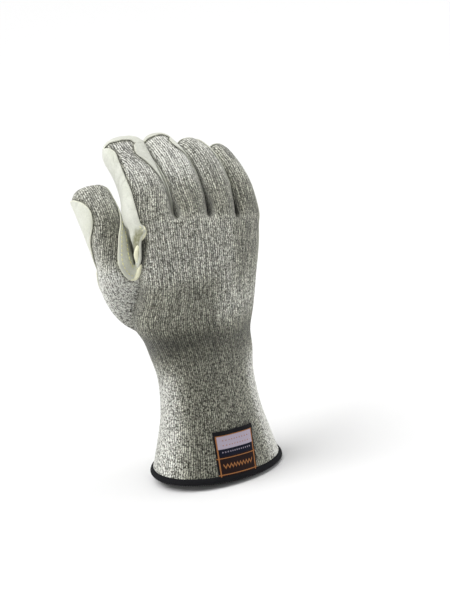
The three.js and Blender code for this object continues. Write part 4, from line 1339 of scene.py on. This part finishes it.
class GLOVE_OT_hem(bpy.types.Operator):
    """Make the overlocked binding round the cuff's edge"""

    bl_idname = "glove.hem"
    bl_label = "Hem binding"

    def execute(self, context):
        settings = context.scene.glove_trim
        count = STRAND_POINTS * round(HEM_ROUND * MM / settings.strand)
        columns = np.linspace(0, RING, count, endpoint=False)
        # The binding's outline, as distances out from the knit's face and heights above the mouth
        turn = np.linspace(0, 2 * np.pi, 28, endpoint=False)
        out = HEM_DEPTH / 2 * bend(np.sin(turn), 0.75) - KNIT_WALL / 2
        high = HEM_HEIGHT / 2 + 0.1 - (HEM_HEIGHT / 2 + 0.15) * np.cos(turn)
        up = np.array([0, 0, 1.0])
        rings = []
        for d, h, t in zip(out, high, turn):
            ring, _ = hand_ring(h, columns)
            normal = unit(np.cross(np.roll(ring, -1, 0) - np.roll(ring, 1, 0), up))
            phase = np.arange(count) / STRAND_POINTS + t / np.pi * STRAND_LEAN
            wave = (STRAND_HIGH * np.abs(np.sin(np.pi * phase)) - STRAND_SINK)[:, None]
            rings.append(ring + normal * (d + wave * np.sin(t)) - up * wave * np.cos(t))
        ids = numbers(len(turn), count)
        faces = grid_faces(closed(join([ids, ids[:1]])))
        put_piece("hem", "hem", "hem_binding", join(rings), faces, hem_material(settings))
        return {"FINISHED"}


class GLOVE_OT_label(bpy.types.Operator):
    """Make the woven label on the back of the cuff"""

    bl_idname = "glove.label"
    bl_label = "Woven label"

    def execute(self, context):
        up, across = np.linspace(0, 1, 49)[:, None], np.linspace(0, 1, 41)
        columns = LABEL_COLS[0] + across * LABEL_COLS[1] * (1 + LABEL_SPREAD * up) - LABEL_LEAN * up
        heights = LABEL_FROM + (LABEL_TO - LABEL_FROM) * up[:, 0]
        flat, normals, faces = sheet_of(np.stack([hand_ring(*line)[0] for line in zip(heights, columns)]))
        uv = grid_faces(np.stack(np.broadcast_arrays(across, up), -1))
        lift = 0.25 * np.sin(across * 9) * up + 0.5 * (up > 0.9)
        flat = flat + normals * lift.reshape(-1, 1)
        points, faces, uv, _ = thicken(flat, normals, faces, uv, LABEL_LIFT, LABEL_LIFT + LABEL_THICK, 0.2)
        material = label_material(context.scene.glove_trim)
        put_piece("label", "label", "cuff_label", points, faces, material, uv)
        return {"FINISHED"}


def add_camera(distance):
    """A camera at a distance from the point it looks at, turned, raised and rolled by its angles."""
    data = bpy.data.cameras.new("camera")
    data.sensor_fit = "VERTICAL"
    data.sensor_height = SENSOR
    data.lens = LENS
    data.shift_x, data.shift_y = SHIFT
    data.clip_start = 0.05
    camera = add_object("camera", data)
    camera.matrix_world = Matrix.Translation(LOOK_AT)
    for degrees, axis in ((-VIEW_AROUND, "Z"), (90 - VIEW_ABOVE, "X"), (-VIEW_ROLL, "Z")):
        camera.matrix_world = camera.matrix_world @ Matrix.Rotation(radians(degrees), 4, axis)
    camera.matrix_world = camera.matrix_world @ Matrix.Translation((0, 0, distance))
    bpy.context.scene.camera = camera


def add_light(name, kind, place, target, energy, **settings):
    """A light at a place, facing a target."""
    data = bpy.data.lights.new(name, kind)
    data.energy = energy
    for key, value in settings.items():
        setattr(data, key, value)
    way = Vector(target) - Vector(place)
    turn = way.to_track_quat("-Z", "Y").to_matrix().to_4x4()
    add_object(name, data).matrix_world = Matrix.Translation(place) @ turn


class GLOVE_OT_studio(bpy.types.Operator):
    """Set up the floor, the lights and the camera"""

    bl_idname = "glove.studio"
    bl_label = "Studio"

    def execute(self, context):
        settings = context.scene.glove_studio
        add_camera(settings.distance)
        half, z = FLOOR_HALF, CAD_BOX[0][2] / MM - FLOOR_DROP
        points = np.array([[-half, -half, z], [half, -half, z], [half, half, z], [-half, half, z]])
        material, tree = new_material("pale_floor", 0.9, 0.0)
        tree.nodes["Principled BSDF"].inputs["Base Color"].default_value = (0.78, 0.78, 0.78, 1)
        put_mesh("floor", points, np.array([[0, 1, 2, 3]]), material)
        world = bpy.data.worlds.new("studio")
        world.use_nodes = True
        background = world.node_tree.nodes["Background"]
        background.inputs["Color"].default_value = (1, 1, 1, 1)
        background.inputs["Strength"].default_value = settings.fill
        context.scene.world = world
        context.scene.view_settings.view_transform = "Standard"
        far, low = {"angle": radians(40)}, {"shape": "SQUARE", "size": 0.6}
        add_light("key", "SUN", (-0.8, 0.15, 1.1), (0, 0, 0), settings.key, **far)
        add_light("top", "SUN", (0, 0.1, 1), (0, 0, 0), settings.key * 0.65, **far)
        add_light("left", "AREA", (-1.3, 0.1, 0.2), (0, 0, 0.1), settings.side, **low)
        add_light("right", "AREA", (1.2, -0.2, 0.3), (0, 0, 0.1), settings.side * 1.8, **low)
        return {"FINISHED"}


class GLOVE_PT_panel(bpy.types.Panel):
    """Lists the glove's pieces in the 3D view's sidebar"""

    bl_idname = "GLOVE_PT_panel"
    bl_label = "Work glove"
    bl_space_type = "VIEW_3D"
    bl_region_type = "UI"
    bl_category = "Glove"

    def draw(self, context):
        for name, owner in SETTINGS.items():
            box = self.layout.box()
            for key in owner.__annotations__:
                box.prop(getattr(context.scene, name), key)
        for operator in OPERATORS:
            self.layout.operator(operator.bl_idname)


SETTINGS = {
    "glove_knit": GloveKnitSettings,
    "glove_leather": GloveLeatherSettings,
    "glove_thread": GloveThreadSettings,
    "glove_trim": GloveTrimSettings,
    "glove_studio": GloveStudioSettings,
}
OPERATORS = [GLOVE_OT_knit, GLOVE_OT_leather, GLOVE_OT_seams, GLOVE_OT_hem, GLOVE_OT_label, GLOVE_OT_studio]


def register():
    """Registers the settings, the operators and the panel."""
    for name, owner in SETTINGS.items():
        bpy.utils.register_class(owner)
        setattr(bpy.types.Scene, name, bpy.props.PointerProperty(type=owner))
    for owner in OPERATORS + [GLOVE_PT_panel]:
        bpy.utils.register_class(owner)


def unregister():
    """Takes the settings, the operators and the panel away again."""
    for owner in reversed(OPERATORS + [GLOVE_PT_panel]):
        bpy.utils.unregister_class(owner)
    for name, owner in SETTINGS.items():
        delattr(bpy.types.Scene, name)
        bpy.utils.unregister_class(owner)


def main():
    """Registers the add-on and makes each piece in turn."""
    register()
    bpy.ops.glove.studio()
    bpy.ops.glove.knit()
    bpy.ops.glove.leather()
    bpy.ops.glove.seams()
    bpy.ops.glove.hem()
    bpy.ops.glove.label()
    bpy.context.view_layer.update()


if __name__ == "__main__":
    main()
